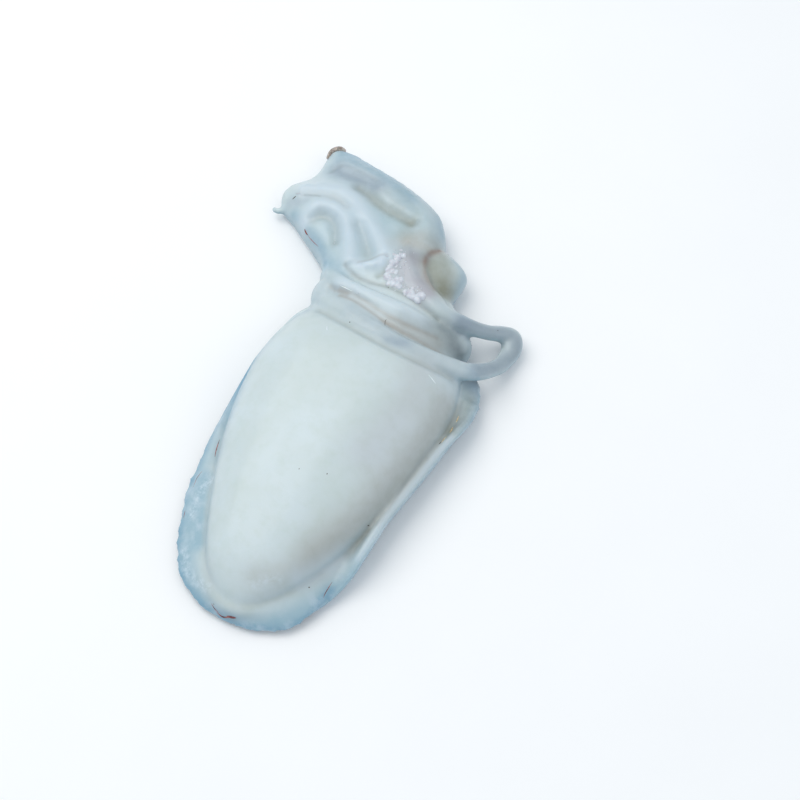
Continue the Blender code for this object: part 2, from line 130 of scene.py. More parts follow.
def stroke_share(spots: np.ndarray, half: float, line: Sequence[Place]) -> np.ndarray:
    """Gives each spot's share of a soft stroke, 1 on its line and none far from it.

    Args:
        spots: Places in plan, one row each.
        half: Half the stroke's width.
        line: The places in plan that the stroke runs through.

    Returns:
        One share for each spot.
    """
    curve = smooth_line(line, STROKE_STEPS)
    margin = STROKE_REACH * half
    low, high = curve.min(axis=0) - margin, curve.max(axis=0) + margin
    near = np.all((spots > low) & (spots < high), axis=1)
    share = np.zeros(len(spots))
    share[near] = np.exp(-((plan_gap(spots[near], curve) / half) ** 2))
    return share


def inside_outline(spots: np.ndarray, outline: np.ndarray) -> np.ndarray:
    """Finds the spots that lie inside a closed outline, by counting crossings.

    Args:
        spots: Places in plan, one row each.
        outline: Corners of the outline, in order.

    Returns:
        True for each spot that lies inside.
    """
    found = np.zeros(len(spots), bool)
    for one, other in zip(outline, np.roll(outline, -1, axis=0)):
        if one[1] == other[1]:
            continue
        spans = (one[1] > spots[:, 1]) != (other[1] > spots[:, 1])
        cut = one[0] + (spots[:, 1] - one[1]) * (other[0] - one[0]) / (other[1] - one[1])
        found ^= spans & (spots[:, 0] < cut)
    return found


def display(red: int, green: int, blue: int) -> Colour:
    """Turns a display colour into the linear colour that shaders take.

    Args:
        red: How red it is, 0 to 255.
        green: How green it is.
        blue: How blue it is.

    Returns:
        The linear colour, each value 0 to 1.
    """
    shares = np.array((red, green, blue)) / 255.0
    linear = np.where(shares > 0.04045, ((shares + 0.055) / 1.055) ** 2.4, shares / 12.92)
    return tuple(float(value) for value in linear)


# Meshes


class ClosedShells:
    """Closed shells of points and faces, gathered to become one mesh."""

    def __init__(self) -> None:
        """Starts with no shell."""
        self.points: list[np.ndarray] = []
        self.faces: list[tuple[int, ...]] = []
        self.count = 0

    def add(self, points: np.ndarray, faces: Iterable[Sequence[int]]) -> None:
        """Takes in one closed shell.

        Args:
            points: Its points, one row each.
            faces: Its faces, as indexes into those points.
        """
        self.points.append(np.asarray(points, float))
        self.faces.extend(tuple(int(i) + self.count for i in face) for face in faces)
        self.count += len(points)

    def add_rings(self, rings: Sequence[np.ndarray]) -> None:
        """Takes in a tube of faces between rings of points, capped at both ends.

        Args:
            rings: The rings, all with as many points.
        """
        rows = np.asarray(rings, float)
        count, size = rows.shape[:2]
        faces: list[Sequence[int]] = []
        for base in range(0, (count - 1) * size, size):
            for i in range(size):
                j = (i + 1) % size
                faces.append((base + i, base + j, base + size + j, base + size + i))
        faces.append(range(size - 1, -1, -1))
        faces.append(range((count - 1) * size, count * size))
        self.add(rows.reshape(-1, 3), faces)

    def to_object(self, name: str) -> bpy.types.Object:
        """Makes one object of all the shells.

        Args:
            name: The object's name.

        Returns:
            The object, still in millimetres.
        """
        mesh = bpy.data.meshes.new(name)
        mesh.from_pydata(np.vstack(self.points).tolist(), [], self.faces)
        made = bpy.data.objects.new(name, mesh)
        bpy.context.scene.collection.objects.link(made)
        return made


@dataclass(frozen=True)
class Ball:
    """A unit ball's points and faces, to be scaled and placed many times."""

    points: np.ndarray
    faces: list[tuple[int, ...]]

    @classmethod
    def make(cls, segments: int, rings: int) -> "Ball":
        """Makes the ball.

        Args:
            segments: Faces round its middle.
            rings: Faces from pole to pole.

        Returns:
            The ball.
        """
        bm = bmesh.new()
        bmesh.ops.create_uvsphere(bm, u_segments=segments, v_segments=rings, radius=1.0)
        points = np.array([v.co for v in bm.verts])
        faces = [tuple(v.index for v in face.verts) for face in bm.faces]
        bm.free()
        return cls(points, faces)


FINE_BALL = Ball.make(48, 24)
BEAD = Ball.make(16, 10)


def read_points(piece: bpy.types.Object) -> np.ndarray:
    """Reads where a piece's points lie.

    Args:
        piece: The piece.

    Returns:
        One row for each point.
    """
    flat = np.empty(len(piece.data.vertices) * 3, np.float32)
    piece.data.vertices.foreach_get("co", flat)
    return flat.reshape(-1, 3).astype(float)


def read_normals(piece: bpy.types.Object) -> np.ndarray:
    """Reads the way out of the skin at each of a piece's points.

    Args:
        piece: The piece.

    Returns:
        One row for each point.
    """
    flat = np.empty(len(piece.data.vertices) * 3, np.float32)
    piece.data.vertices.foreach_get("normal", flat)
    return flat.reshape(-1, 3).astype(float)


def write_points(piece: bpy.types.Object, points: np.ndarray) -> None:
    """Puts a piece's points back."""
    piece.data.vertices.foreach_set("co", points.astype(np.float32).ravel())
    piece.data.update()


def bake_modifiers(piece: bpy.types.Object) -> None:
    """Replaces a piece's mesh with what its modifiers make of it.

    Args:
        piece: The piece.
    """
    graph = bpy.context.evaluated_depsgraph_get()
    old = piece.data
    piece.data = bpy.data.meshes.new_from_object(piece.evaluated_get(graph))
    piece.modifiers.clear()
    bpy.data.meshes.remove(old)


def fuse(piece: bpy.types.Object, voxel: float, passes: int) -> None:
    """Joins a piece's shells under one skin and evens the skin out.

    Args:
        piece: The piece, in millimetres.
        voxel: Size of the skin's faces.
        passes: How many times the skin is evened out.
    """
    union = piece.modifiers.new("union", "REMESH")
    union.mode = "VOXEL"
    union.voxel_size = voxel
    even_out(piece, passes)


def even_out(piece: bpy.types.Object, passes: int) -> None:
    """Relaxes a piece's skin.

    Args:
        piece: The piece.
        passes: How many times the skin is relaxed.
    """
    relax = piece.modifiers.new("relax", "SMOOTH")
    relax.factor = 0.5
    relax.iterations = passes
    bake_modifiers(piece)


def finish_piece(piece: bpy.types.Object, material: bpy.types.Material) -> None:
    """Moves a piece from the layout frame to the part's, dresses it and lets it ride.

    Args:
        piece: The piece, in millimetres in the layout frame.
        material: Its finish.
    """
    points = read_points(piece)
    points[:, :2] -= PLAN_CENTRE
    write_points(piece, points * MM)
    piece.data.shade_smooth()
    piece.data.materials.clear()
    piece.data.materials.append(material)
    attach(piece, BODY)
    LOG.info("%s: %d points", piece.name, len(piece.data.vertices))


# Forms that are fused into the flesh


@dataclass(frozen=True)
class Mantle:
    """The big oval body: superellipse sections from tail to neck, flat below."""

    tail_y: float = -66.0
    widest_y: float = 42.0
    end_y: float = 84.0
    half_width: float = 42.5
    front_reach: float = 60.0
    taper_power: float = 1.7
    taper_root: float = 0.58
    rim_z: float = 10.0
    dome_height: float = 26.0
    keel_z: float = -1.5
    dome_power: float = 2.25
    lip_start: float = 50.0
    lip_reach: float = 28.0
    lip_drop: float = 0.5
    axis_shift: float = -1.0
    axis_bend: float = 6.0
    swell_least: float = 2.6
    swell_rise: float = 4.6
    swell_start: float = -45.0
    swell_reach: float = 75.0
    swell_fall: float = 0.06
    swell_full_width: float = 15.0
    bend_start: float = 60.0
    bend_reach: float = 120.0
    bend_power: float = 1.5
    crown_power: float = 0.85
    tail_rim: float = 0.55
    rim_gain: float = 0.45
    rim_full_width: float = 20.0
    tail_gap: float = 0.05
    section_power: float = 1.6
    sections: int = 72
    around: int = 96
    rim_end_turn: float = 150.0
    rim_points: int = 181
    rim_step_turn: float = 1.5

    def right_width(self, y: float) -> float:
        """Gives the width from the axis to the right edge.

        Args:
            y: Place along the mantle.

        Returns:
            The width there.
        """
        if y <= self.widest_y:
            share = min((self.widest_y - y) / (self.widest_y - self.tail_y), 1.0)
            return self.half_width * (1 - share**self.taper_power) ** self.taper_root
        share = (y - self.widest_y) / self.front_reach
        return self.half_width * math.sqrt(max(1 - share * share, 0.0))

    def swell_at(self, y: float) -> float:
        """Gives how much further the left edge lies from the axis than the right.

        Args:
            y: Place along the mantle.

        Returns:
            The further distance there.
        """
        rise = min(max((y - self.swell_start) / self.swell_reach, 0.0), 1.0)
        swell = self.swell_least + self.swell_rise * rise * rise * (3.0 - 2.0 * rise)
        swell -= self.swell_fall * max(y - self.widest_y, 0.0)
        return swell * min(1.0, self.right_width(y) / self.swell_full_width)

    def width_at(self, y: float) -> float:
        """Gives half the width at a place along the mantle."""
        return self.right_width(y) + 0.5 * self.swell_at(y)

    def middle_at(self, y: float) -> float:
        """Gives the x of the middle line, which bends to the left towards the tail."""
        bend = (max(self.bend_start - y, 0.0) / self.bend_reach) ** self.bend_power
        return self.axis_shift - self.axis_bend * bend - 0.5 * self.swell_at(y)

    def crown_at(self, y: float) -> float:
        """Gives the height of the crown above the rim, which sinks towards the neck.

        Args:
            y: Place along the mantle.

        Returns:
            The height there.
        """
        share = self.right_width(y) / self.half_width
        lip = min(max((y - self.lip_start) / self.lip_reach, 0.0), 1.0)
        return self.dome_height * share**self.crown_power * (1 - self.lip_drop * lip**2)

    def rim_point(self, turn: float) -> np.ndarray:
        """Gives the rim's place in plan at an angle round it.

        Args:
            turn: The angle in radians, 0 at the tail and positive to the right.

        Returns:
            The place.
        """
        if abs(turn) <= math.pi / 2:
            y = self.widest_y - (self.widest_y - self.tail_y) * math.cos(turn)
        else:
            y = self.widest_y + self.front_reach * math.sin(abs(turn) - math.pi / 2)
        return np.array([self.middle_at(y) + math.copysign(self.width_at(y), turn), y])

    def rim_way_out(self, turn: float) -> np.ndarray:
        """Gives the way out from the rim in plan at an angle round it.

        Args:
            turn: The angle in radians.

        Returns:
            The way out, of length 1.
        """
        step = math.radians(self.rim_step_turn)
        ahead = self.rim_point(turn + step) - self.rim_point(turn - step)
        return np.array([ahead[1], -ahead[0]]) / np.linalg.norm(ahead)

    def rim_line(self) -> np.ndarray:
        """Gives the whole rim in plan, as one closed loop."""
        turns = np.radians(np.linspace(-self.rim_end_turn, self.rim_end_turn, self.rim_points))
        return np.array([self.rim_point(turn) for turn in turns])

    def add_to(self, shells: ClosedShells) -> None:
        """Adds the mantle's shell to the others.

        Args:
            shells: The shells that it joins.
        """
        turns = 2 * np.pi * np.arange(self.around) / self.around
        side = np.sign(np.cos(turns)) * np.abs(np.cos(turns)) ** (2 / self.dome_power)
        rise = np.abs(np.sin(turns)) ** (2 / self.dome_power)
        above = np.sin(turns) > 0
        start_y = self.tail_y + self.tail_gap
        rings = []
        for share in (np.arange(self.sections + 1) / self.sections) ** self.section_power:
            y = start_y + (self.end_y - start_y) * share
            filled = self.tail_rim + self.rim_gain * self.width_at(y) / self.rim_full_width
            rim = self.rim_z * min(1.0, filled)
            z = rim + rise * np.where(above, self.crown_at(y), self.keel_z - rim)
            x = self.middle_at(y) + self.width_at(y) * side
            rings.append(np.stack([x, np.full_like(z, y), z], axis=1))
        shells.add_rings(rings)


@dataclass(frozen=True)
class Fin:
    """The frill round the mantle, a ribbon that bends from its root through its middle.

    Each station is the angle round the mantle, 0 at the tail and positive to the right, then the
    reach and height of the ribbon's middle and the reach and height of its edge. Each wave of the
    edge is its rate round the mantle, its size and where it starts.
    """

    root_thickness: float = 4.0
    edge_thickness: float = 1.5
    root_depth: float = 5.0
    root_drop: float = 1.0
    wave_height: float = 0.4
    wave_reach: float = 0.32
    waves: tuple[tuple[float, float, float], ...] = ((1.3, 1.0, 0.0), (2.1, 0.8, 1.0), (0.47, 1.0, 2.0))
    wave_full_reach: float = 12.0
    thin_edge: tuple[float, float] = (-90.0, 45.0)
    steps_round: int = 12
    steps_out: int = 7
    stations: tuple[tuple[float, ...], ...] = (
        (-125.0, 1.2, 9.0, 3.0, 7.0),
        (-117.0, 2.2, 8.0, 4.6, 5.0),
        (-104.0, 1.4, 7.5, 2.8, 3.4),
        (-86.0, 1.4, 7.5, 2.8, 2.8),
        (-70.0, 3.4, 7.5, 7.0, 2.8),
        (-53.0, 6.0, 7.0, 12.4, 2.6),
        (-42.0, 6.4, 6.5, 13.2, 2.4),
        (-34.0, 6.5, 6.0, 13.4, 2.4),
        (-25.0, 5.2, 5.5, 11.2, 2.4),
        (-14.0, 3.3, 5.0, 7.5, 2.2),
        (0.0, 2.0, 4.5, 4.5, 2.0),
        (13.0, 3.5, 5.0, 7.5, 2.2),
        (24.0, 6.0, 6.0, 11.5, 2.6),
        (33.0, 6.5, 6.5, 12.0, 4.0),
        (42.0, 5.0, 7.0, 8.0, 7.0),
        (52.0, 3.4, 8.0, 4.6, 11.5),
        (62.0, 2.0, 9.0, 2.4, 14.0),
        (73.0, 1.2, 9.5, 1.6, 15.0),
        (83.0, 1.8, 9.0, 2.2, 14.5),
        (92.0, 3.0, 8.5, 5.0, 12.0),
        (101.0, 4.2, 8.0, 7.8, 9.0),
        (110.0, 5.2, 7.5, 9.6, 7.0),
        (118.0, 4.6, 8.0, 8.4, 6.5),
        (124.0, 2.8, 8.5, 5.0, 7.5),
    )

    def edge_line(self, mantle: Mantle) -> tuple[Place, ...]:
        """Gives the thin stretch of the fin's outer edge.

        Args:
            mantle: The mantle whose rim it follows.

        Returns:
            Places in plan, in order along the edge.
        """
        first, last = self.thin_edge
        edge = []
        for angle, _, _, reach, _ in self.stations:
            if first < angle < last:
                turn = math.radians(angle)
                spot = mantle.rim_point(turn) + mantle.rim_way_out(turn) * reach
                edge.append((float(spot[0]), float(spot[1])))
        return tuple(edge)

    def wave_at(self, angle: float, edge_reach: float) -> float:
        """Gives the edge's wave at an angle, less where the fin is narrow.

        Args:
            angle: Degrees round the mantle.
            edge_reach: How far the edge lies from the mantle there.

        Returns:
            The wave, as a share of its full size.
        """
        flat = min(edge_reach / self.wave_full_reach, 1.0)
        return flat * sum(size * math.sin(rate * angle + start) for rate, size, start in self.waves)

    def add_to(self, shells: ClosedShells, mantle: Mantle) -> None:
        """Adds the fin's shell to the others.

        Args:
            shells: The shells that it joins.
            mantle: The mantle whose rim it follows.
        """
        root_z = mantle.rim_z - self.root_drop
        middle_thickness = 0.5 * (self.root_thickness + self.edge_thickness)
        rings = []
        for angle, mid_reach, mid_z, edge_reach, edge_z in smooth_line(self.stations, self.steps_round):
            turn = math.radians(angle)
            base, out = mantle.rim_point(turn), mantle.rim_way_out(turn)
            wave = self.wave_at(angle, edge_reach)
            waved_reach = edge_reach + self.wave_reach * wave
            waved_z = edge_z + self.wave_height * abs(wave)
            section = (
                (-self.root_depth, root_z, self.root_thickness),
                (0.0, root_z, self.root_thickness),
                (mid_reach, mid_z, middle_thickness),
                (waved_reach, waved_z, self.edge_thickness),
            )
            line = smooth_line(section, self.steps_out)
            ahead = np.gradient(line[:, :2], axis=0)
            ahead /= np.linalg.norm(ahead, axis=1)[:, None]
            across = np.stack([-ahead[:, 1], ahead[:, 0]], axis=1) * line[:, 2:3] / 2
            loop = np.vstack([line[:, :2] + across, (line[:, :2] - across)[::-1]])
            rings.append(np.array([(*(base + out * reach), z) for reach, z in loop]))
        shells.add_rings(rings)


@dataclass(frozen=True)
class Head:
    """The head, a pillow of flesh that follows an outline and rises towards the neck."""

    outline: tuple[Place, ...] = (
        (-75.4, 158.8),
        (-75.8, 163.2),
        (-74.0, 166.4),
        (-68.6, 167.5),
        (-62.0, 167.0),
        (-55.8, 165.3),
        (-39.6, 161.0),
        (-26.3, 156.6),
        (-15.8, 152.0),
        (-8.0, 147.2),
        (-3.0, 141.0),
        (0.5, 134.0),
        (3.0, 124.0),
        (6.0, 108.0),
        (8.0, 96.0),
        (0.0, 88.0),
        (-20.0, 84.0),
        (-38.0, 86.0),
        (-45.0, 91.0),
        (-47.2, 97.5),
        (-51.3, 102.8),
        (-58.8, 108.2),
        (-66.3, 113.4),
        (-74.0, 118.6),
        (-79.5, 121.6),
        (-84.0, 126.6),
        (-85.5, 133.5),
        (-82.0, 139.6),
        (-76.7, 144.9),
        (-75.4, 151.6),
    )
    tip: Point = (-78.0, 140.0, 12.5)
    neck: Point = (-8.0, 100.0, 25.0)
    shoulder: float = 13.0
    pitch: float = 2.0
    pillar: float = 5.0
    least_reach: float = 1.0
    steps: int = 6

    def add_to(self, shells: ClosedShells) -> None:
        """Adds upright pillars of flesh, which stand close and follow the outline.

        Args:
            shells: The shells that they join.
        """
        outline = smooth_line([*self.outline, self.outline[0]], self.steps)
        low, high = outline.min(axis=0), outline.max(axis=0)
        steps = [np.arange(low[k], high[k], self.pitch) for k in range(2)]
        spots = np.stack(np.meshgrid(*steps), axis=-1).reshape(-1, 2)
        spots = spots[inside_outline(spots, outline[:-1])]
        reach = plan_gap(spots, outline)
        tip, neck = np.array(self.tip), np.array(self.neck)
        way = (neck - tip)[:2]
        share = np.clip((spots - tip[:2]) @ way / (way @ way), 0.0, 1.0)
        full = tip[2] + (neck[2] - tip[2]) * share
        round_off = np.sqrt(1 - (1 - np.minimum(reach / self.shoulder, 1.0)) ** 2)
        for (x, y), near, top in zip(spots, reach, full * round_off):
            if near > self.least_reach:
                wide = min(near, self.pillar)
                Lobe((x, y, top / 2), (wide, wide, top / 2)).add_to(shells, BEAD)


@dataclass(frozen=True)
class Lobe:
    """A rounded lump: an ellipsoid turned about the vertical."""

    centre: Point
    half_axes: Point
    turn: float = 0.0

    def add_to(self, shells: ClosedShells, ball: Ball = FINE_BALL) -> None:
        """Adds the lobe's shell to the others, made from the given ball."""
        place = Matrix.Rotation(math.radians(self.turn), 3, "Z") @ Matrix.Diagonal(self.half_axes)
        shells.add(ball.points @ np.array(place).T + self.centre, ball.faces)


@dataclass(frozen=True)
class Limb:
    """A tapering limb, given by points of its middle line, each with its radius."""

    rows: tuple[Row, ...]
    spacing: float = 0.3

    def add_to(self, shells: ClosedShells) -> None:
        """Adds beads that overlap, which the union makes one limb."""
        for bead in spaced_beads(self.rows, self.spacing):
            shells.add(BEAD.points * bead[3] + bead[:3], BEAD.faces)


@dataclass(frozen=True)
class Fold:
    """A ridge or a crease: how far the skin rises, its half width and its line in plan."""

    rise: float
    half: float
    line: tuple[Place, ...]

    def lift(self, spots: np.ndarray) -> np.ndarray:
        """Gives how far each spot in plan rises, or sinks where it is negative."""
        return self.rise * stroke_share(spots, self.half, self.line)


@dataclass(frozen=True)
class EyeLobe:
    """The blunt, angular lobe over the eye: rings of one outline, small above and below."""

    outline: tuple[Place, ...] = (
        (-8.0, 126.6),
        (1.0, 129.6),
        (7.6, 127.6),
        (12.6, 125.2),
        (16.8, 121.8),
        (17.6, 118.4),
        (17.0, 113.0),
        (16.4, 107.4),
        (15.0, 101.5),
        (6.0, 98.5),
        (-6.0, 103.0),
        (-11.0, 112.0),
        (-11.0, 121.0),
    )
    centre: Point = (3.6, 115.0, 9.4)
    half_height: float = 11.6
    pole_angle: float = 88.0
    rings: int = 25
    steps: int = 5

    def add_to(self, shells: ClosedShells) -> None:
        """Adds the lobe's shell to the others.

        Args:
            shells: The shells that it joins.
        """
        loop = smooth_line([*self.outline, self.outline[0]], self.steps)[:-1] - self.centre[:2]
        rings = []
        for lift in np.radians(np.linspace(-self.pole_angle, self.pole_angle, self.rings)):
            level = np.full((len(loop), 1), self.half_height * math.sin(lift))
            rings.append(np.hstack([loop * math.cos(lift), level]) + self.centre)
        shells.add_rings(rings)


LOBES = (
    Lobe((-4.0, 79.0, 12.5), (36.0, 17.0, 15.4), 3.0),
    Lobe((-4.0, 92.0, 12.0), (27.0, 16.0, 13.2), 8.0),
    Lobe((-35.0, 85.0, 10.5), (10.0, 11.0, 10.0)),
    Lobe((27.0, 84.5, 9.0), (7.5, 9.0, 8.8)),
    Lobe((-22.5, 101.5, 17.5), (7.0, 4.6, 6.8), 25.0),
    EyeLobe(),
)

FIN_RIDGE = Limb(
    (
        (24.0, -50.0, 3.4, 1.2),
        (27.6, -43.0, 4.8, 1.5),
        (30.0, -36.0, 6.8, 1.9),
        (31.4, -30.0, 9.4, 2.3),
        (32.2, -24.5, 11.8, 2.5),
        (33.2, -16.8, 13.4, 2.6),
        (34.6, -3.9, 14.3, 2.6),
        (36.8, 6.4, 14.4, 2.6),
        (38.8, 16.1, 14.4, 2.6),
        (41.3, 29.9, 13.8, 2.6),
        (44.2, 40.4, 13.4, 2.2),
        (46.0, 48.0, 12.0, 2.3),
        (47.0, 55.0, 10.4, 2.3),
        (46.4, 61.0, 9.0, 2.3),
    )
)

FIN_BED = Limb(
    (
        (21.5, -46.0, 3.4, 3.0),
        (25.4, -36.0, 5.0, 3.6),
        (28.0, -26.0, 7.4, 4.0),
        (29.8, -16.0, 8.8, 4.4),
        (31.2, -4.0, 9.9, 4.8),
        (33.4, 8.0, 10.1, 4.8),
        (36.0, 20.0, 10.1, 4.8),
        (38.4, 32.0, 9.8, 4.8),
        (40.6, 42.0, 9.0, 4.6),
        (41.8, 52.0, 8.2, 4.6),
        (41.0, 60.0, 7.6, 4.6),
    )
)

TENTACLE = Limb(
    (
        (-12.0, 103.5, 20.5, 3.0),
        (-2.0, 100.5, 21.5, 4.0),
        (7.5, 96.0, 21.8, 4.9),
        (17.0, 93.0, 20.8, 4.6),
        (28.2, 93.4, 18.0, 4.0),
        (37.0, 97.0, 13.0, 3.6),
        (43.0, 101.0, 9.4, 4.0),
        (47.6, 102.2, 7.0, 4.7),
        (49.6, 98.0, 6.0, 4.9),
        (49.4, 92.4, 6.0, 4.3),
        (47.6, 84.0, 9.4, 3.8),
        (40.6, 73.4, 17.0, 4.1),
        (26.7, 67.8, 22.5, 4.9),
        (8.2, 66.6, 25.4, 5.1),
        (-6.5, 69.0, 25.3, 5.3),
        (-20.4, 73.2, 22.6, 5.4),
        (-33.2, 78.8, 17.0, 5.4),
    )
)

FLAP_EDGE = Limb(
    (
        (-6.5, 124.0, 19.5, 1.6),
        (-3.2, 117.0, 20.5, 1.9),
        (-1.5, 111.0, 21.0, 2.1),
        (2.4, 105.5, 21.5, 2.3),
        (7.2, 101.0, 21.5, 2.6),
        (14.0, 97.0, 21.0, 3.0),
    )
)

FLAP_MIDDLE = Limb(
    (
        (-13.0, 121.0, 20.5, 2.6),
        (-9.0, 111.0, 22.0, 3.0),
        (-3.0, 103.0, 22.5, 3.2),
        (5.0, 98.0, 22.0, 3.2),
    )
)

COLLAR = Limb(
    (
        (-42.5, 96.0, 9.0, 3.4),
        (-38.5, 92.6, 16.5, 3.8),
        (-30.5, 87.9, 21.0, 4.0),
        (-19.5, 85.4, 23.5, 4.2),
        (-7.3, 84.0, 24.3, 4.6),
        (3.4, 83.4, 23.8, 4.8),
        (14.0, 82.6, 21.6, 4.5),
        (23.5, 82.4, 17.6, 4.2),
        (30.0, 83.4, 12.5, 3.8),
    )
)

NIB = Limb(
    (
        (-78.6, 125.5, 6.5, 2.5),
        (-80.8, 122.8, 5.6, 1.8),
        (-83.2, 121.4, 5.2, 1.6),
        (-85.2, 121.9, 5.0, 1.5),
    )
)

LIMBS = (FIN_RIDGE, FIN_BED, TENTACLE, FLAP_EDGE, FLAP_MIDDLE, COLLAR, NIB)


# Lines in plan that folds and washes follow

RIGHT_ARM = (
    (-63.6, 156.8),
    (-50.0, 156.5),
    (-36.0, 155.1),
    (-22.8, 149.4),
    (-11.9, 140.4),
    (-6.0, 131.8),
)
RIGHT_ARM_TOP = ((-66.0, 160.0), (-51.3, 159.0), (-35.2, 153.2), (-24.0, 147.0))
ARM_TROUGH = ((-64.6, 151.0), (-57.7, 150.2), (-50.9, 149.4), (-42.8, 148.0))
ARM_VALLEY = (
    (-49.9, 143.4),
    (-43.8, 141.3),
    (-36.9, 138.0),
    (-29.3, 135.2),
    (-22.5, 133.9),
    (-17.2, 132.6),
)
LUMP_VALLEY = ((-31.0, 148.5), (-22.5, 143.5), (-16.5, 138.5), (-14.5, 133.5))
ARM_LUMP = ((-38.1, 145.0), (-32.2, 141.3), (-25.0, 138.0))
MIDDLE_ARM = (
    (-73.1, 132.8),
    (-64.2, 136.3),
    (-55.8, 137.6),
    (-47.1, 133.9),
    (-37.3, 125.7),
    (-26.6, 116.3),
    (-19.0, 108.5),
)
NIB_CREASE = ((-72.3, 130.6), (-67.4, 131.6), (-61.9, 132.6), (-54.9, 132.2), (-49.0, 129.4))
LOOPED_ARM = (
    (-66.0, 113.5),
    (-65.6, 120.0),
    (-62.8, 125.6),
    (-57.1, 127.2),
    (-50.1, 124.6),
    (-43.3, 117.4),
    (-37.5, 108.9),
    (-34.0, 101.5),
)
LOOPED_HOLLOW = ((-62.7, 118.3), (-58.9, 121.6), (-52.9, 121.0), (-47.8, 115.8), (-45.2, 109.6))
LOWER_ARM = ((-60.9, 114.7), (-54.3, 109.8), (-47.9, 102.4))
ARM_GAP = ((-38.8, 121.8), (-34.4, 117.2), (-30.0, 112.0), (-26.8, 108.0))
LENS_CREASE = ((-33.0, 97.6), (-29.0, 100.6), (-25.6, 104.6), (-21.6, 107.4), (-18.4, 109.2))
LENS_SIDE = ((-18.4, 109.2), (-16.4, 104.4), (-15.4, 100.0), (-17.6, 97.2))
LENS_MIDDLE = ((-28.0, 99.6), (-23.5, 101.4), (-19.5, 103.6))
COLLAR_CREASE = (
    (-34.3, 97.4),
    (-28.4, 94.6),
    (-21.5, 93.4),
    (-9.6, 93.4),
    (1.0, 92.4),
    (9.7, 90.4),
    (16.5, 88.2),
)
BAND_HOLLOW = (
    (-29.2, 83.6),
    (-21.2, 81.2),
    (-11.2, 78.4),
    (-1.0, 77.4),
    (8.0, 76.8),
    (17.0, 76.4),
    (26.0, 76.6),
    (34.0, 77.6),
)
CREASE_END = ((14.0, -46.0), (20.5, -37.0), (25.5, -28.0))
MANTLE_CREASE = (
    (-33.5, 70.5),
    (-26.0, 67.5),
    (-12.5, 63.6),
    (0.0, 61.3),
    (10.0, 60.6),
    (22.0, 61.2),
    (34.0, 64.0),
)
LEFT_FIN_CREASE = (
    (-48.6, 8.0),
    (-47.0, 1.6),
    (-43.8, -10.0),
    (-40.0, -22.0),
    (-34.7, -34.0),
    (-30.0, -44.5),
    (-22.6, -57.0),
    (-15.6, -64.8),
    (-6.4, -66.8),
    (0.6, -63.4),
    (10.9, -51.7),
    (20.2, -38.4),
)
RIGHT_FIN_CREASE = (
    (26.4, -26.5),
    (28.6, -18.5),
    (30.6, -6.9),
    (32.9, 3.4),
    (36.2, 16.8),
    (38.8, 30.8),
    (40.4, 42.5),
    (39.6, 55.5),
)
RIGHT_FIN_EDGE = (
    (32.2, -26.0),
    (33.8, -16.8),
    (35.2, -3.9),
    (37.4, 6.4),
    (39.4, 16.1),
    (41.8, 29.9),
    (44.4, 40.4),
)
RIGHT_SIDE = ((39.0, 50.0), (37.4, 30.0), (33.2, 10.0), (29.2, -8.0), (23.4, -23.0), (17.5, -34.0))
EYE_EDGE = ((0.7, 125.9), (-2.0, 121.4), (-2.2, 115.9), (-0.1, 110.4), (3.7, 105.5), (8.8, 101.8))
TROUGH_EDGE = (
    (-67.6, 148.6),
    (-66.3, 151.6),
    (-64.0, 153.6),
    (-61.1, 154.3),
    (-56.0, 154.0),
    (-49.9, 152.8),
    (-43.9, 151.5),
)
BAND_SEAM = (
    (-28.9, 81.4),
    (-22.2, 80.3),
    (-15.1, 78.3),
    (-8.1, 76.3),
    (-3.8, 74.9),
    (3.1, 73.9),
    (10.2, 73.7),
    (20.1, 73.7),
    (27.9, 73.9),
    (36.9, 74.6),
)
NECK_BAND = ((-38.0, 84.0), (-22.0, 77.0), (-4.0, 73.0), (12.0, 72.0), (30.0, 74.0))
BAND_FALL = (
    (-30.3, 84.4),
    (-23.6, 83.3),
    (-15.5, 81.1),
    (-7.3, 79.0),
    (1.1, 78.2),
    (8.2, 78.0),
    (20.0, 79.0),
)
NOTCH_STREAK = ((-40.3, 88.6), (-36.2, 88.7), (-31.6, 87.8), (-27.8, 86.5), (-23.8, 84.7))
NOTCH_HOLLOW = ((-35.4, 85.2), (-30.6, 83.8), (-26.0, 82.9))
NECK_END = ((20.0, 86.4), (23.5, 85.2), (27.0, 83.6), (31.2, 81.6), (34.0, 79.4))
HEAD_LEFT_SIDE = (
    (-73.3, 119.7),
    (-67.8, 116.3),
    (-62.5, 112.3),
    (-57.7, 109.3),
    (-53.2, 106.9),
    (-49.4, 103.6),
    (-46.0, 98.9),
)
HEAD_RIGHT_SIDE = (
    (-67.8, 165.1),
    (-58.8, 165.1),
    (-46.5, 162.5),
    (-34.3, 160.0),
    (-24.7, 157.1),
    (-17.0, 153.3),
    (-8.9, 148.0),
    (-3.2, 138.9),
    (0.3, 134.1),
)
MANTLE_LEFT_SIDE = (
    (-43.5, -10.0),
    (-46.2, -1.8),
    (-48.4, 8.8),
    (-49.9, 19.9),
    (-51.3, 29.2),
    (-51.6, 38.0),
    (-50.2, 50.0),
    (-46.4, 61.0),
    (-41.4, 70.0),
)
LOOP = (
    (27.0, 91.5),
    (37.5, 96.4),
    (44.8, 101.0),
    (50.0, 100.2),
    (52.2, 95.6),
    (50.6, 89.5),
    (46.8, 80.2),
    (43.0, 75.4),
)

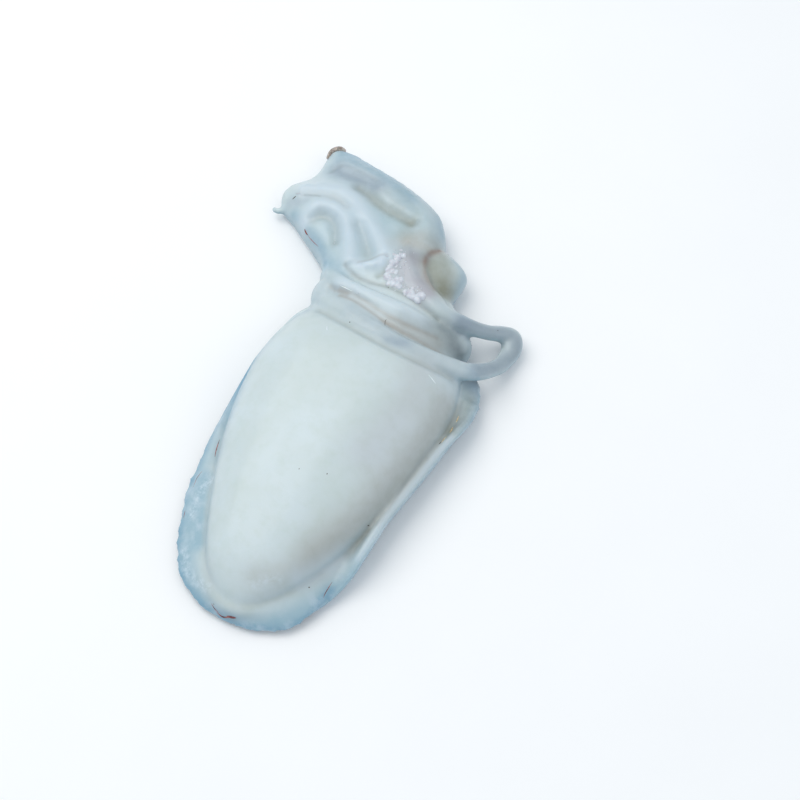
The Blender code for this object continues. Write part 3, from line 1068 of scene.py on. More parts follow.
FOLDS = (
    Fold(1.4, 6.0, RIGHT_ARM),
    Fold(-1.5, 4.0, ARM_TROUGH),
    Fold(-2.0, 3.0, ARM_VALLEY),
    Fold(-0.4, 2.4, LUMP_VALLEY),
    Fold(1.5, 5.0, ARM_LUMP),
    Fold(3.0, 6.2, MIDDLE_ARM),
    Fold(-1.2, 2.0, NIB_CREASE),
    Fold(2.8, 4.8, LOOPED_ARM),
    Fold(-2.4, 3.0, LOOPED_HOLLOW),
    Fold(1.2, 4.0, LOWER_ARM),
    Fold(-2.2, 3.3, ARM_GAP),
    Fold(-0.7, 1.0, LENS_CREASE),
    Fold(-0.8, 1.3, LENS_SIDE),
    Fold(1.0, 3.4, LENS_MIDDLE),
    Fold(-0.5, 1.1, COLLAR_CREASE),
    Fold(-0.4, 2.4, BAND_HOLLOW),
    Fold(-0.8, 1.0, BAND_SEAM),
    Fold(-0.6, 1.1, BAND_FALL),
    Fold(-0.5, 1.2, NOTCH_STREAK),
    Fold(-0.7, 1.2, NOTCH_HOLLOW),
    Fold(-0.5, 1.2, TROUGH_EDGE),
    Fold(-1.5, 1.8, MANTLE_CREASE),
    Fold(-0.6, 2.4, LEFT_FIN_CREASE),
    Fold(-0.8, 1.8, RIGHT_FIN_CREASE),
)


# Washes of colour on the flesh; many are painted shade, and some painted highlight and painted blue
# reflection


class Wash(Enum):
    """A colour wash on the flesh, by the colour attribute and channel that hold it."""

    # Painted shade and painted blue reflection on steep sides, where the flesh is also thinner.
    STEEP_SIDE_SHADE = ("washes_broad", 0)
    # Painted shade on the mantle's right side and along the right arm's edge.
    SHADE = ("washes_broad", 1)
    THIN = ("washes_broad", 2)
    # Beige: painted shade in hollows, seams and creases, partly the flesh's own beige.
    BEIGE_AND_SHADE = ("washes_local", 0)
    PINK = ("washes_local", 1)
    # Olive: painted shade in creases, hollows and under the flap, partly the flesh's own olive tint.
    OLIVE_AND_SHADE = ("washes_local", 2)
    # Rust brown: painted shadow along the flap's edge and in creases, partly brown lines.
    RUST_AND_SHADOW = ("washes_fine", 0)
    # Blue-grey: painted shade in the trough, on the loop and in hollows, partly the flesh's cool tone.
    COOL_AND_SHADE = ("washes_fine", 1)
    # Milk white: painted highlight on ridge crests and lit arms, partly whiter flesh.
    MILK_AND_HIGHLIGHT = ("washes_fine", 2)
    # Painted deep shade at the neck's end, in creases, in the trough and along the fin ridge.
    DEEP_SHADE = ("washes_deep", 0)
    FROST = ("washes_deep", 1)
    # Painted blue reflection and shade along the outline and the fin's edge, where the flesh is also thin.
    RIM_REFLECTION = ("washes_deep", 2)

    @property
    def attribute(self) -> str:
        """Gives the name of the colour attribute that holds the wash."""
        return self.value[0]

    @property
    def channel(self) -> int:
        """Gives the attribute's channel that holds the wash."""
        return self.value[1]


ATTRIBUTES = tuple(dict.fromkeys(wash.attribute for wash in Wash))


@dataclass(frozen=True)
class Brush:
    """One stroke of a wash: which, how strong, its half width and its line in plan."""

    wash: Wash
    strength: float
    half: float
    line: tuple[Place, ...]

    def weight(self, spots: np.ndarray) -> np.ndarray:
        """Gives how much of the wash each spot in plan takes."""
        return self.strength * stroke_share(spots, self.half, self.line)


BRUSHES = (
    # Olive painted shade in valleys, creases and hollows, and the flap's painted shadow on the eye lobe; a
    # little real tint on the lump.
    Brush(Wash.OLIVE_AND_SHADE, 0.5, 3.0, ARM_VALLEY),
    Brush(Wash.BEIGE_AND_SHADE, 0.2, 4.0, ARM_LUMP),
    Brush(Wash.OLIVE_AND_SHADE, 0.15, 2.6, LUMP_VALLEY),
    Brush(Wash.OLIVE_AND_SHADE, 0.35, 1.4, LENS_SIDE),
    Brush(Wash.OLIVE_AND_SHADE, 0.28, 1.6, COLLAR_CREASE),
    Brush(Wash.OLIVE_AND_SHADE, 0.25, 1.6, MANTLE_CREASE),
    Brush(Wash.OLIVE_AND_SHADE, 0.15, 2.4, LEFT_FIN_CREASE),
    Brush(Wash.OLIVE_AND_SHADE, 0.22, 1.8, RIGHT_FIN_CREASE),
    Brush(Wash.OLIVE_AND_SHADE, 0.25, 3.4, ARM_GAP),
    Brush(Wash.OLIVE_AND_SHADE, 0.3, 3.2, LOOPED_HOLLOW),
    Brush(Wash.OLIVE_AND_SHADE, 0.22, 4.2, ((-17.2, 132.6), (-16.4, 129.7), (-17.5, 125.4))),
    Brush(Wash.OLIVE_AND_SHADE, 0.75, 5.5, ((0.9, 114.0), (5.3, 108.7), (11.4, 104.2))),
    Brush(Wash.OLIVE_AND_SHADE, 0.5, 5.0, ((4.0, 121.5), (9.0, 116.0), (13.0, 109.0))),
    Brush(Wash.OLIVE_AND_SHADE, 0.4, 3.6, ((43.0, 44.0), (44.6, 54.0), (43.6, 64.0))),
    # Rust brown painted shadow where the flap overlaps the eye lobe and along the lens crease.
    Brush(Wash.RUST_AND_SHADOW, 0.45, 1.1, EYE_EDGE),
    Brush(Wash.RUST_AND_SHADOW, 0.45, 1.8, ((0.6, 123.9), (-0.9, 121.0), (-1.9, 118.0), (-1.6, 114.6))),
    Brush(Wash.RUST_AND_SHADOW, 0.3, 0.9, ((0.7, 125.9), (4.0, 128.0), (8.0, 127.4))),
    Brush(Wash.RUST_AND_SHADOW, 0.2, 0.7, LENS_CREASE[1:]),
    # Beige painted shade along the band seams, the band hollow, the notch and the nib crease.
    Brush(Wash.BEIGE_AND_SHADE, 0.65, 1.0, BAND_SEAM),
    Brush(Wash.BEIGE_AND_SHADE, 0.5, 2.8, ((-2.5, 75.6), (6.8, 76.0), (14.0, 76.4), (22.0, 76.8))),
    Brush(Wash.BEIGE_AND_SHADE, 0.5, 1.3, NOTCH_HOLLOW),
    Brush(Wash.BEIGE_AND_SHADE, 0.5, 1.0, BAND_FALL),
    Brush(Wash.BEIGE_AND_SHADE, 0.3, 3.0, NIB_CREASE),
    Brush(Wash.BEIGE_AND_SHADE, 0.45, 3.4, ((-13.3, 120.0), (-7.3, 120.7), (-2.6, 121.8))),
    Brush(Wash.BEIGE_AND_SHADE, 0.3, 4.0, ((-20.0, 116.0), (-16.0, 122.0), (-10.0, 126.0))),
    Brush(Wash.PINK, 0.8, 6.0, ((-9.5, 112.0), (-7.4, 104.4), (-2.0, 100.6), (5.0, 97.6))),
    Brush(Wash.PINK, 0.3, 9.0, ((22.0, 58.0), (24.0, 44.0), (22.0, 28.0), (18.0, 12.0))),
    Brush(Wash.PINK, 0.5, 3.0, ((-5.8, 115.0), (-2.8, 110.8), (0.1, 106.7), (4.3, 101.9), (8.8, 98.6))),
    # Painted shade on the mantle's right side, its tail end and the right arm.
    Brush(Wash.SHADE, 0.62, 8.2, RIGHT_SIDE),
    Brush(Wash.SHADE, 0.3, 5.5, ((12.0, -43.0), (6.5, -48.0), (-1.0, -53.0))),
    Brush(Wash.SHADE, 0.35, 5.0, ((-14.0, 124.0), (-4.0, 127.0), (1.0, 128.0))),
    Brush(Wash.SHADE, 0.35, 7.0, ((-34.0, 158.0), (-18.0, 150.0), (-6.0, 140.0), (-1.0, 128.0))),
    Brush(Wash.THIN, 0.28, 36.0, ((-60.0, 146.0), (-46.0, 132.0))),
    # Painted blue reflection and shade along the right arm's outer edge.
    Brush(Wash.RIM_REFLECTION, 0.45, 5.4, RIGHT_ARM_TOP),
    Brush(Wash.THIN, 0.8, 3.0, ((-44.0, -18.0), (-41.0, -28.0), (-36.5, -38.0), (-32.0, -47.0))),
    Brush(Wash.THIN, 0.35, 20.0, ((-40.0, 112.0), (-12.0, 142.0))),
    Brush(Wash.THIN, 0.5, 3.4, ((-43.6, 97.2), (-40.1, 96.4), (-36.5, 95.6), (-33.8, 94.3))),
    # Painted blue reflection and shade along the head's and mantle's outlines and the eye lobe's edge.
    Brush(Wash.RIM_REFLECTION, 0.42, 3.0, HEAD_LEFT_SIDE),
    Brush(Wash.RIM_REFLECTION, 0.5, 3.4, HEAD_RIGHT_SIDE),
    Brush(Wash.RIM_REFLECTION, 0.4, 3.2, MANTLE_LEFT_SIDE),
    Brush(Wash.RIM_REFLECTION, 0.3, 3.2, ((-48.0, 8.0), (-49.9, 19.9), (-51.3, 29.2), (-51.4, 40.0), (-49.0, 52.0))),
    Brush(Wash.RIM_REFLECTION, 0.4, 2.6, ((9.6, 123.8), (14.0, 122.1), (17.1, 117.3), (16.8, 109.8))),
    # Blue-grey painted shade in the arm trough, the nib hollow, the loop and under the band, with some
    # cool tone on the bands.
    Brush(Wash.COOL_AND_SHADE, 0.8, 6.0, ARM_TROUGH),
    Brush(Wash.COOL_AND_SHADE, 0.28, 11.0, NECK_BAND),
    Brush(Wash.COOL_AND_SHADE, 0.45, 2.8, ((-77.5, 125.1), (-73.4, 125.7), (-69.8, 127.4))),
    Brush(Wash.COOL_AND_SHADE, 0.8, 5.0, LOOP),
    Brush(Wash.COOL_AND_SHADE, 0.35, 4.4, ((8.0, 96.0), (17.0, 93.4), (27.0, 93.4))),
    Brush(Wash.COOL_AND_SHADE, 0.2, 5.0, ((-20.0, 72.0), (-4.0, 67.5), (12.0, 65.6), (28.0, 67.4), (40.0, 72.0))),
    Brush(Wash.COOL_AND_SHADE, 0.4, 3.0, ((45.0, 48.0), (48.0, 58.0), (44.0, 68.0))),
    Brush(Wash.COOL_AND_SHADE, 0.4, 3.0, ((3.3, 65.0), (7.0, 65.6), (10.0, 67.6))),
    # Painted deep shade at the neck's right end, under the tentacle, in creases and along the fin ridge.
    Brush(Wash.DEEP_SHADE, 0.5, 3.8, NECK_END),
    Brush(Wash.DEEP_SHADE, 0.25, 4.6, ((4.0, 79.5), (12.0, 79.0), (21.0, 78.0), (30.0, 77.0))),
    Brush(Wash.DEEP_SHADE, 0.3, 3.4, ((-12.0, 116.4), (-7.5, 114.6), (-3.2, 117.7))),
    Brush(Wash.DEEP_SHADE, 0.12, 4.2, ARM_TROUGH),
    Brush(Wash.DEEP_SHADE, 0.16, 0.9, TROUGH_EDGE),
    Brush(Wash.DEEP_SHADE, 0.35, 4.2, ((15.0, 83.4), (21.0, 82.0), (28.0, 79.6))),
    Brush(Wash.DEEP_SHADE, 0.3, 3.4, LOOP),
    Brush(Wash.DEEP_SHADE, 0.3, 0.7, COLLAR_CREASE),
    Brush(Wash.DEEP_SHADE, 0.35, 0.6, ((-71.6, 129.3), (-68.7, 130.0), (-65.7, 130.7), (-64.3, 130.9))),
    Brush(Wash.DEEP_SHADE, 0.3, 0.8, ((41.2, 60.4), (42.6, 53.2), (43.4, 45.8), (42.7, 39.7))),
    Brush(Wash.DEEP_SHADE, 0.25, 0.7, ((39.4, 35.2), (37.6, 24.8), (36.0, 13.0), (35.0, 2.0), (33.4, -10.0))),
    # Milk white painted highlight on the arms' ridges, the lens, the fin ridge's crest and the end of the
    # tail crease, partly whiter flesh.
    Brush(Wash.MILK_AND_HIGHLIGHT, 0.85, 4.8, MIDDLE_ARM),
    Brush(Wash.MILK_AND_HIGHLIGHT, 0.8, 4.0, LOOPED_ARM),
    Brush(Wash.MILK_AND_HIGHLIGHT, 0.9, 3.0, LENS_MIDDLE),
    Brush(Wash.MILK_AND_HIGHLIGHT, 0.5, 1.8, RIGHT_FIN_EDGE),
    Brush(Wash.MILK_AND_HIGHLIGHT, 0.45, 3.4, CREASE_END),
    Brush(Wash.MILK_AND_HIGHLIGHT, 0.6, 2.8, ((-31.8, 87.3), (-15.4, 85.3), (-5.6, 84.1), (5.0, 83.4), (14.0, 82.4))),
    Brush(Wash.FROST, 0.65, 2.4, ((-41.3, -19.0), (-43.6, -25.0), (-43.0, -31.0), (-42.4, -36.0))),
    Brush(Wash.FROST, 0.6, 2.2, ((-37.6, -51.1), (-32.0, -58.6), (-26.0, -61.0), (-20.0, -62.6))),
    Brush(Wash.FROST, 0.35, 2.0, ((-1.0, -56.2), (3.5, -52.4), (7.0, -49.9))),
)


# Finishes


@dataclass(frozen=True)
class Noise:
    """Soft noise: its largest patches in millimetres, its finer layers and how strong they are."""

    size: float
    detail: float = 3.0
    roughness: float = 0.5


@dataclass(frozen=True)
class Span:
    """A span of values mapped onto another: low gives start and high gives end."""

    low: float
    high: float
    start: float = 0.0
    end: float = 1.0


@dataclass(frozen=True)
class Bump:
    """A layer of relief: its depth in millimetres and how strongly it shows."""

    depth: float
    strength: float


class NodeBoard:
    """A material's nodes, added and joined by short calls."""

    def __init__(self, name: str) -> None:
        """Starts a material with an output and one principled shader.

        Args:
            name: The material's name.
        """
        self.material = bpy.data.materials.new(name)
        self.material.use_nodes = True
        self.tree = self.material.node_tree
        self.tree.nodes.clear()
        output = self.add("ShaderNodeOutputMaterial")
        self.shader = self.add("ShaderNodeBsdfPrincipled")
        self.join(self.shader.outputs["BSDF"], output.inputs["Surface"])
        self.place = self.add("ShaderNodeTexCoord").outputs["Object"]

    def add(self, kind: str) -> bpy.types.Node:
        """Adds a node of a kind."""
        return self.tree.nodes.new(kind)

    def join(self, source: bpy.types.NodeSocket, target: bpy.types.NodeSocket) -> None:
        """Joins one node's output to another's input."""
        self.tree.links.new(source, target)

    def set_shader(self, **values: float | tuple[float, ...]) -> None:
        """Sets the shader's own sockets, named with underscores for spaces."""
        for name, value in values.items():
            self.shader.inputs[name.replace("_", " ")].default_value = value

    def noise(self, noise: Noise) -> bpy.types.NodeSocket:
        """Adds soft noise.

        Args:
            noise: Its size and layers.

        Returns:
            The socket that holds its value.
        """
        node = self.add("ShaderNodeTexNoise")
        node.inputs["Scale"].default_value = 1.0 / (noise.size * MM)
        node.inputs["Detail"].default_value = noise.detail
        node.inputs["Roughness"].default_value = noise.roughness
        self.join(self.place, node.inputs["Vector"])
        return node.outputs["Fac"]

    def cells(self, size: float) -> bpy.types.NodeSocket:
        """Adds cells.

        Args:
            size: Their size in millimetres.

        Returns:
            The socket that holds the distance from their middles.
        """
        node = self.add("ShaderNodeTexVoronoi")
        node.inputs["Scale"].default_value = 1.0 / (size * MM)
        self.join(self.place, node.inputs["Vector"])
        return node.outputs["Distance"]

    def mapped(self, value: bpy.types.NodeSocket, span: Span) -> bpy.types.NodeSocket:
        """Maps a span of values onto another, clamped at both ends.

        Args:
            value: What is mapped.
            span: The two spans.

        Returns:
            The mapped value's socket.
        """
        node = self.add("ShaderNodeMapRange")
        node.inputs["From Min"].default_value = span.low
        node.inputs["From Max"].default_value = span.high
        node.inputs["To Min"].default_value = span.start
        node.inputs["To Max"].default_value = span.end
        self.join(value, node.inputs["Value"])
        return node.outputs["Result"]

    def product(self, one: bpy.types.NodeSocket, other: bpy.types.NodeSocket) -> bpy.types.NodeSocket:
        """Multiplies two values.

        Args:
            one: The first value.
            other: The second value.

        Returns:
            The product's socket.
        """
        node = self.add("ShaderNodeMath")
        node.operation = "MULTIPLY"
        self.join(one, node.inputs[0])
        self.join(other, node.inputs[1])
        return node.outputs[0]

    def blend(
        self, factor: bpy.types.NodeSocket, low: bpy.types.NodeSocket | Colour, high: Colour
    ) -> bpy.types.NodeSocket:
        """Blends from one colour towards another.

        Args:
            factor: How much of the second colour shows.
            low: The first colour, or the socket that gives it.
            high: The second colour.

        Returns:
            The blended colour's socket.
        """
        node = self.add("ShaderNodeMix")
        node.data_type = "RGBA"
        self.join(factor, node.inputs["Factor"])
        if isinstance(low, tuple):
            node.inputs[6].default_value = (*low, 1.0)
        else:
            self.join(low, node.inputs[6])
        node.inputs[7].default_value = (*high, 1.0)
        return node.outputs[2]

    def washes(self, attribute: str) -> list[bpy.types.NodeSocket]:
        """Reads the three washes that a colour attribute holds.

        Args:
            attribute: The attribute's name.

        Returns:
            One socket for each channel.
        """
        node = self.add("ShaderNodeAttribute")
        node.attribute_name = attribute
        split = self.add("ShaderNodeSeparateColor")
        self.join(node.outputs["Color"], split.inputs["Color"])
        return list(split.outputs[:3])

    def relief(self, layers: Sequence[tuple[bpy.types.NodeSocket, Bump]]) -> None:
        """Gives the shader a bumpy surface.

        Args:
            layers: Each layer's height socket and its bump.
        """
        below = None
        for height, bump in layers:
            node = self.add("ShaderNodeBump")
            node.inputs["Distance"].default_value = bump.depth * MM
            node.inputs["Strength"].default_value = bump.strength
            self.join(height, node.inputs["Height"])
            if below is not None:
                self.join(below, node.inputs["Normal"])
            below = node.outputs["Normal"]
        self.join(below, self.shader.inputs["Normal"])


@dataclass(frozen=True)
class FleshFinish:
    """Wet raw flesh: pale cream with washes of olive, beige, blue, milk, pink and grey, many of them
    painted shade, painted highlight and painted blue reflection.
    """

    cream: Colour = display(201, 213, 213)
    pearl: Colour = display(207, 219, 222)
    mint: Colour = display(192, 206, 200)
    # Dark blue for steep sides: painted shade and painted blue reflection, partly thin flesh.
    steep_side_shade: Colour = display(120, 153, 170)
    # Warm grey of the painted shade.
    shade: Colour = display(162, 161, 154)
    thin: Colour = display(156, 186, 199)
    # Beige of the painted shade in hollows and seams, partly the flesh's own beige.
    beige_and_shade: Colour = display(178, 171, 158)
    pink: Colour = display(178, 178, 186)
    # Olive of the painted crease and hollow shade, partly the flesh's own tint.
    olive_and_shade: Colour = display(141, 144, 130)
    # Dark brown of the painted shadow at the flap's edge, partly brown lines.
    rust_and_shadow: Colour = display(142, 122, 112)
    # Blue-grey of the painted shade, partly the flesh's cool tone.
    cool_and_shade: Colour = display(154, 170, 183)
    # Milk white for painted highlight on ridges and for the real milky fluff.
    milk_and_highlight: Colour = display(199, 213, 222)
    # Dark grey of the painted deep shade.
    deep_shade: Colour = display(116, 126, 130)
    frost: Colour = display(216, 228, 236)
    # Blue of the painted rim reflection and shade.
    rim_reflection: Colour = display(112, 156, 180)
    speck: Colour = display(120, 122, 116)
    patches: Noise = Noise(26.0, 2.0)
    mottle: Noise = Noise(5.0, 4.0, 0.6)
    grain: Noise = Noise(0.9, 3.0, 0.6)
    ice: Noise = Noise(2.2, 6.0, 0.7)
    fluff: Noise = Noise(9.0, 6.0, 0.65)
    speck_cells: float = 17.0
    pearl_span: Span = Span(0.35, 0.65)
    mint_span: Span = Span(0.45, 0.75, 0.0, 0.35)
    uneven_span: Span = Span(0.3, 0.7, 0.9, 1.08)
    ice_span: Span = Span(0.44, 0.62)
    fluff_span: Span = Span(0.48, 0.68, 0.0, 0.6)
    speck_span: Span = Span(0.030, 0.016, 0.0, 0.8)
    gloss_span: Span = Span(0.3, 0.7, 0.34, 0.5)
    mottle_bump: Bump = Bump(0.35, 0.25)
    grain_bump: Bump = Bump(0.12, 0.3)

    def tints(self) -> tuple[tuple[Wash, Colour], ...]:
        """Pairs the plain washes with their colours.

        Returns:
            The pairs, in the order in which they are laid.
        """
        return (
            (Wash.SHADE, self.shade),
            (Wash.THIN, self.thin),
            (Wash.STEEP_SIDE_SHADE, self.steep_side_shade),
            (Wash.RIM_REFLECTION, self.rim_reflection),
            (Wash.BEIGE_AND_SHADE, self.beige_and_shade),
            (Wash.COOL_AND_SHADE, self.cool_and_shade),
            (Wash.PINK, self.pink),
            (Wash.OLIVE_AND_SHADE, self.olive_and_shade),
            (Wash.MILK_AND_HIGHLIGHT, self.milk_and_highlight),
            (Wash.RUST_AND_SHADOW, self.rust_and_shadow),
            (Wash.DEEP_SHADE, self.deep_shade),
        )

    def colour(self, board: NodeBoard, mottle: bpy.types.NodeSocket) -> bpy.types.NodeSocket:
        """Lays every wash on the mottled ground, then ice, milky fluff and specks.

        Args:
            board: The material's nodes.
            mottle: The noise that breaks the washes up.

        Returns:
            The colour's socket.
        """
        channels = {name: board.washes(name) for name in ATTRIBUTES}
        washes = {wash: channels[wash.attribute][wash.channel] for wash in Wash}
        patches = board.mapped(board.noise(self.patches), self.pearl_span)
        colour = board.blend(patches, self.cream, self.pearl)
        colour = board.blend(board.mapped(mottle, self.mint_span), colour, self.mint)
        uneven = board.mapped(mottle, self.uneven_span)
        for wash, tint in self.tints():
            colour = board.blend(board.product(washes[wash], uneven), colour, tint)
        ice = board.mapped(board.noise(self.ice), self.ice_span)
        colour = board.blend(board.product(ice, washes[Wash.FROST]), colour, self.frost)
        # Real milky fluff on the thin fin, in the same white that also paints highlights.
        fluff = board.mapped(board.noise(self.fluff), self.fluff_span)
        colour = board.blend(board.product(fluff, washes[Wash.THIN]), colour, self.milk_and_highlight)
        specks = board.mapped(board.cells(self.speck_cells), self.speck_span)
        return board.blend(specks, colour, self.speck)

    def material(self) -> bpy.types.Material:
        """Makes the material.

        Returns:
            The material.
        """
        board = NodeBoard("raw_flesh")
        mottle = board.noise(self.mottle)
        grain = board.noise(self.grain)
        board.join(self.colour(board, mottle), board.shader.inputs["Base Color"])
        board.join(board.mapped(mottle, self.gloss_span), board.shader.inputs["Roughness"])
        board.relief(((mottle, self.mottle_bump), (grain, self.grain_bump)))
        board.set_shader(
            Subsurface_Weight=0.45,
            Subsurface_Radius=(1.0, 0.85, 0.75),
            Subsurface_Scale=4.0 * MM,
            IOR=1.38,
            Coat_Weight=0.35,
            Coat_Roughness=0.16,
        )
        return board.material


@dataclass(frozen=True)
class CurdFinish:
    """Torn white tissue, curdled and matt beside the wet skin."""

    white: Colour = display(212, 218, 225)
    lilac: Colour = display(194, 194, 204)
    patches: Noise = Noise(2.2, 4.0, 0.6)
    grain: Noise = Noise(0.8, 4.0, 0.65)
    lilac_span: Span = Span(0.4, 0.68)
    gloss_span: Span = Span(0.3, 0.7, 0.35, 0.6)
    grain_bump: Bump = Bump(0.2, 0.5)

    def material(self) -> bpy.types.Material:
        """Makes the material.

        Returns:
            The material.
        """
        board = NodeBoard("torn_tissue")
        patches = board.noise(self.patches)
        colour = board.blend(board.mapped(patches, self.lilac_span), self.white, self.lilac)
        board.join(colour, board.shader.inputs["Base Color"])
        board.join(board.mapped(patches, self.gloss_span), board.shader.inputs["Roughness"])
        board.relief(((board.noise(self.grain), self.grain_bump),))
        board.set_shader(
            Subsurface_Weight=0.5,
            Subsurface_Radius=(1.0, 0.8, 0.8),
            Subsurface_Scale=2.0 * MM,
            Coat_Weight=0.3,
            Coat_Roughness=0.2,
        )
        return board.material


@dataclass(frozen=True)
class StainFinish:
    """A scrap, thread or fleck: two colours in patches, half wet."""

    name: str
    light: Colour
    dark: Colour
    patch_size: float
    dark_span: Span = Span(0.42, 0.6)
    gloss_span: Span = Span(0.3, 0.7, 0.3, 0.55)
    grain: Noise = Noise(0.5)
    grain_bump: Bump = Bump(0.1, 0.4)

    def material(self) -> bpy.types.Material:
        """Makes the material.

        Returns:
            The material.
        """
        board = NodeBoard(self.name)
        patches = board.noise(Noise(self.patch_size, roughness=0.6))
        colour = board.blend(board.mapped(patches, self.dark_span), self.light, self.dark)
        board.join(colour, board.shader.inputs["Base Color"])
        board.join(board.mapped(patches, self.gloss_span), board.shader.inputs["Roughness"])
        board.relief(((board.noise(self.grain), self.grain_bump),))
        board.set_shader(
            Subsurface_Weight=0.2,
            Subsurface_Scale=0.8 * MM,
            Coat_Weight=0.3,
            Coat_Roughness=0.2,
        )
        return board.material


SCRAP_FINISH = StainFinish("brown_skin", display(188, 178, 168), display(128, 116, 108), 1.2)
THREAD_FINISH = StainFinish("red_brown_threads", display(168, 96, 92), display(96, 36, 40), 2.0)
FLECK_FINISH = StainFinish("yellow_fat", display(226, 210, 170), display(196, 176, 128), 1.4)
# Near-white streaks: painted glints on the wet skin, partly pale slime.
SLIME_AND_GLINT_FINISH = StainFinish("pale_slime_and_glint", display(240, 244, 247), display(220, 229, 234), 1.5)
SLIT_FINISH = StainFinish("dark_slit", display(70, 62, 56), display(34, 28, 26), 1.5)


# The flesh itself


@dataclass
class Flesh:
    """All the flesh under one skin, with its folds pressed in and its washes painted on."""

    mantle: Mantle = field(default_factory=Mantle)
    fin: Fin = field(default_factory=Fin)
    head: Head = field(default_factory=Head)
    voxel: float = 0.82
    first_passes: int = 9
    last_passes: int = 5
    facing_gain: float = 2.0
    thin_wash: float = 0.9
    thin_reach: float = 9.0
    thin_end_y: float = 72.0
    low_wash: float = 0.6
    low_z: float = 9.0
    # Painted blue reflection and shade along the fin's thin outer edge.
    edge_reflection: float = 0.7
    edge_reflection_half: float = 2.4
    # Painted shade and painted blue reflection on steep sides, less where painted shade already lies.
    steep_side_shade_wash: float = 0.58
    steep_side_shade_start: float = 0.85
    steep_side_shade_power: float = 1.2
    shade_cover: float = 0.9

    def build(self) -> bpy.types.Object:
        """Makes the flesh, in millimetres in the layout frame.

        Returns:
            The flesh, with its washes as colour attributes.
        """
        shells = ClosedShells()
        self.mantle.add_to(shells)
        self.fin.add_to(shells, self.mantle)
        self.head.add_to(shells)
        for part in (*LOBES, *LIMBS):
            part.add_to(shells)
        flesh = shells.to_object("flesh")
        fuse(flesh, self.voxel, self.first_passes)
        self.press_folds(flesh)
        even_out(flesh, self.last_passes)
        points = read_points(flesh)
        points[:, 2] = np.maximum(points[:, 2], 0.0)
        write_points(flesh, points)
        self.paint_washes(flesh)
        return flesh

    def press_folds(self, flesh: bpy.types.Object) -> None:
        """Presses every crease and raises every ridge on the skin that looks up.

        Args:
            flesh: The flesh, in millimetres in the layout frame.
        """
        points = read_points(flesh)
        facing = np.clip(read_normals(flesh)[:, 2], 0.0, 1.0)
        shift = sum(fold.lift(points[:, :2]) for fold in FOLDS)
        points[:, 2] += shift * facing
        write_points(flesh, points)

    def thin_share(self, points: np.ndarray) -> np.ndarray:
        """Gives how thin the flesh is: high out on the fin and low on the tentacle's loop.

        Args:
            points: The flesh's points.

        Returns:
            One share for each point.
        """
        rim = self.mantle.rim_line()
        outside = ~inside_outline(points[:, :2], rim) & (points[:, 1] < self.thin_end_y)
        share = np.where(outside, plan_gap(points[:, :2], rim) / self.thin_reach, 0.0)
        low = np.clip(1.0 - points[:, 2] / self.low_z, 0.0, 1.0) * self.low_wash
        return np.clip(share + low, 0.0, 1.0)

    def wash_shares(self, flesh: bpy.types.Object) -> dict[Wash, np.ndarray]:
        """Works out how much of each wash every point of the flesh takes.

        Args:
            flesh: The flesh, in millimetres in the layout frame.

        Returns:
            For each wash, one share for each point.
        """
        points = read_points(flesh)
        spots = points[:, :2]
        up = read_normals(flesh)[:, 2]
        facing = np.clip(up * self.facing_gain, 0.0, 1.0)
        shares = {wash: np.zeros(len(points)) for wash in Wash}
        for brush in BRUSHES:
            shares[brush.wash] += brush.weight(spots) * facing
        shares[Wash.THIN] += self.thin_wash * self.thin_share(points)
        # The fin's outer edge gets painted blue reflection and shade.
        edge = self.fin.edge_line(self.mantle)
        shares[Wash.RIM_REFLECTION] += self.edge_reflection * stroke_share(spots, self.edge_reflection_half, edge)
        # Steep sides get painted shade and painted blue reflection.
        steep = np.clip((self.steep_side_shade_start - up) / self.steep_side_shade_start, 0.0, 1.0) ** self.steep_side_shade_power
        unshaded = 1.0 - self.shade_cover * np.clip(shares[Wash.SHADE], 0.0, 1.0)
        shares[Wash.STEEP_SIDE_SHADE] += self.steep_side_shade_wash * steep * unshaded
        return shares

    def paint_washes(self, flesh: bpy.types.Object) -> None:
        """Writes the washes into the flesh's colour attributes.

        Args:
            flesh: The flesh, in millimetres in the layout frame.
        """
        shares = self.wash_shares(flesh)
        for name in ATTRIBUTES:
            colours = np.ones((len(flesh.data.vertices), 4))
            for wash in Wash:
                if wash.attribute == name:
                    colours[:, wash.channel] = np.clip(shares[wash], 0.0, 1.0)
            layer = flesh.data.color_attributes.new(name, "FLOAT_COLOR", "POINT")
            layer.data.foreach_set("color", colours.astype(np.float32).ravel())


class Surface:
    """The flesh's upper skin, on which small things are laid."""

    probe_z = 80.0

    def __init__(self, flesh: bpy.types.Object) -> None:
        """Reads the skin of the flesh, in millimetres in the layout frame."""
        graph = bpy.context.evaluated_depsgraph_get()
        self.tree = BVHTree.FromObject(flesh, graph)

    def height(self, x: float, y: float) -> float:
        """Gives the height of the upper skin at a place in plan, or 0 beside the flesh."""
        hit = self.tree.ray_cast(Vector((x, y, self.probe_z)), Vector((0.0, 0.0, -1.0)))[0]
        return hit.z if hit is not None else 0.0


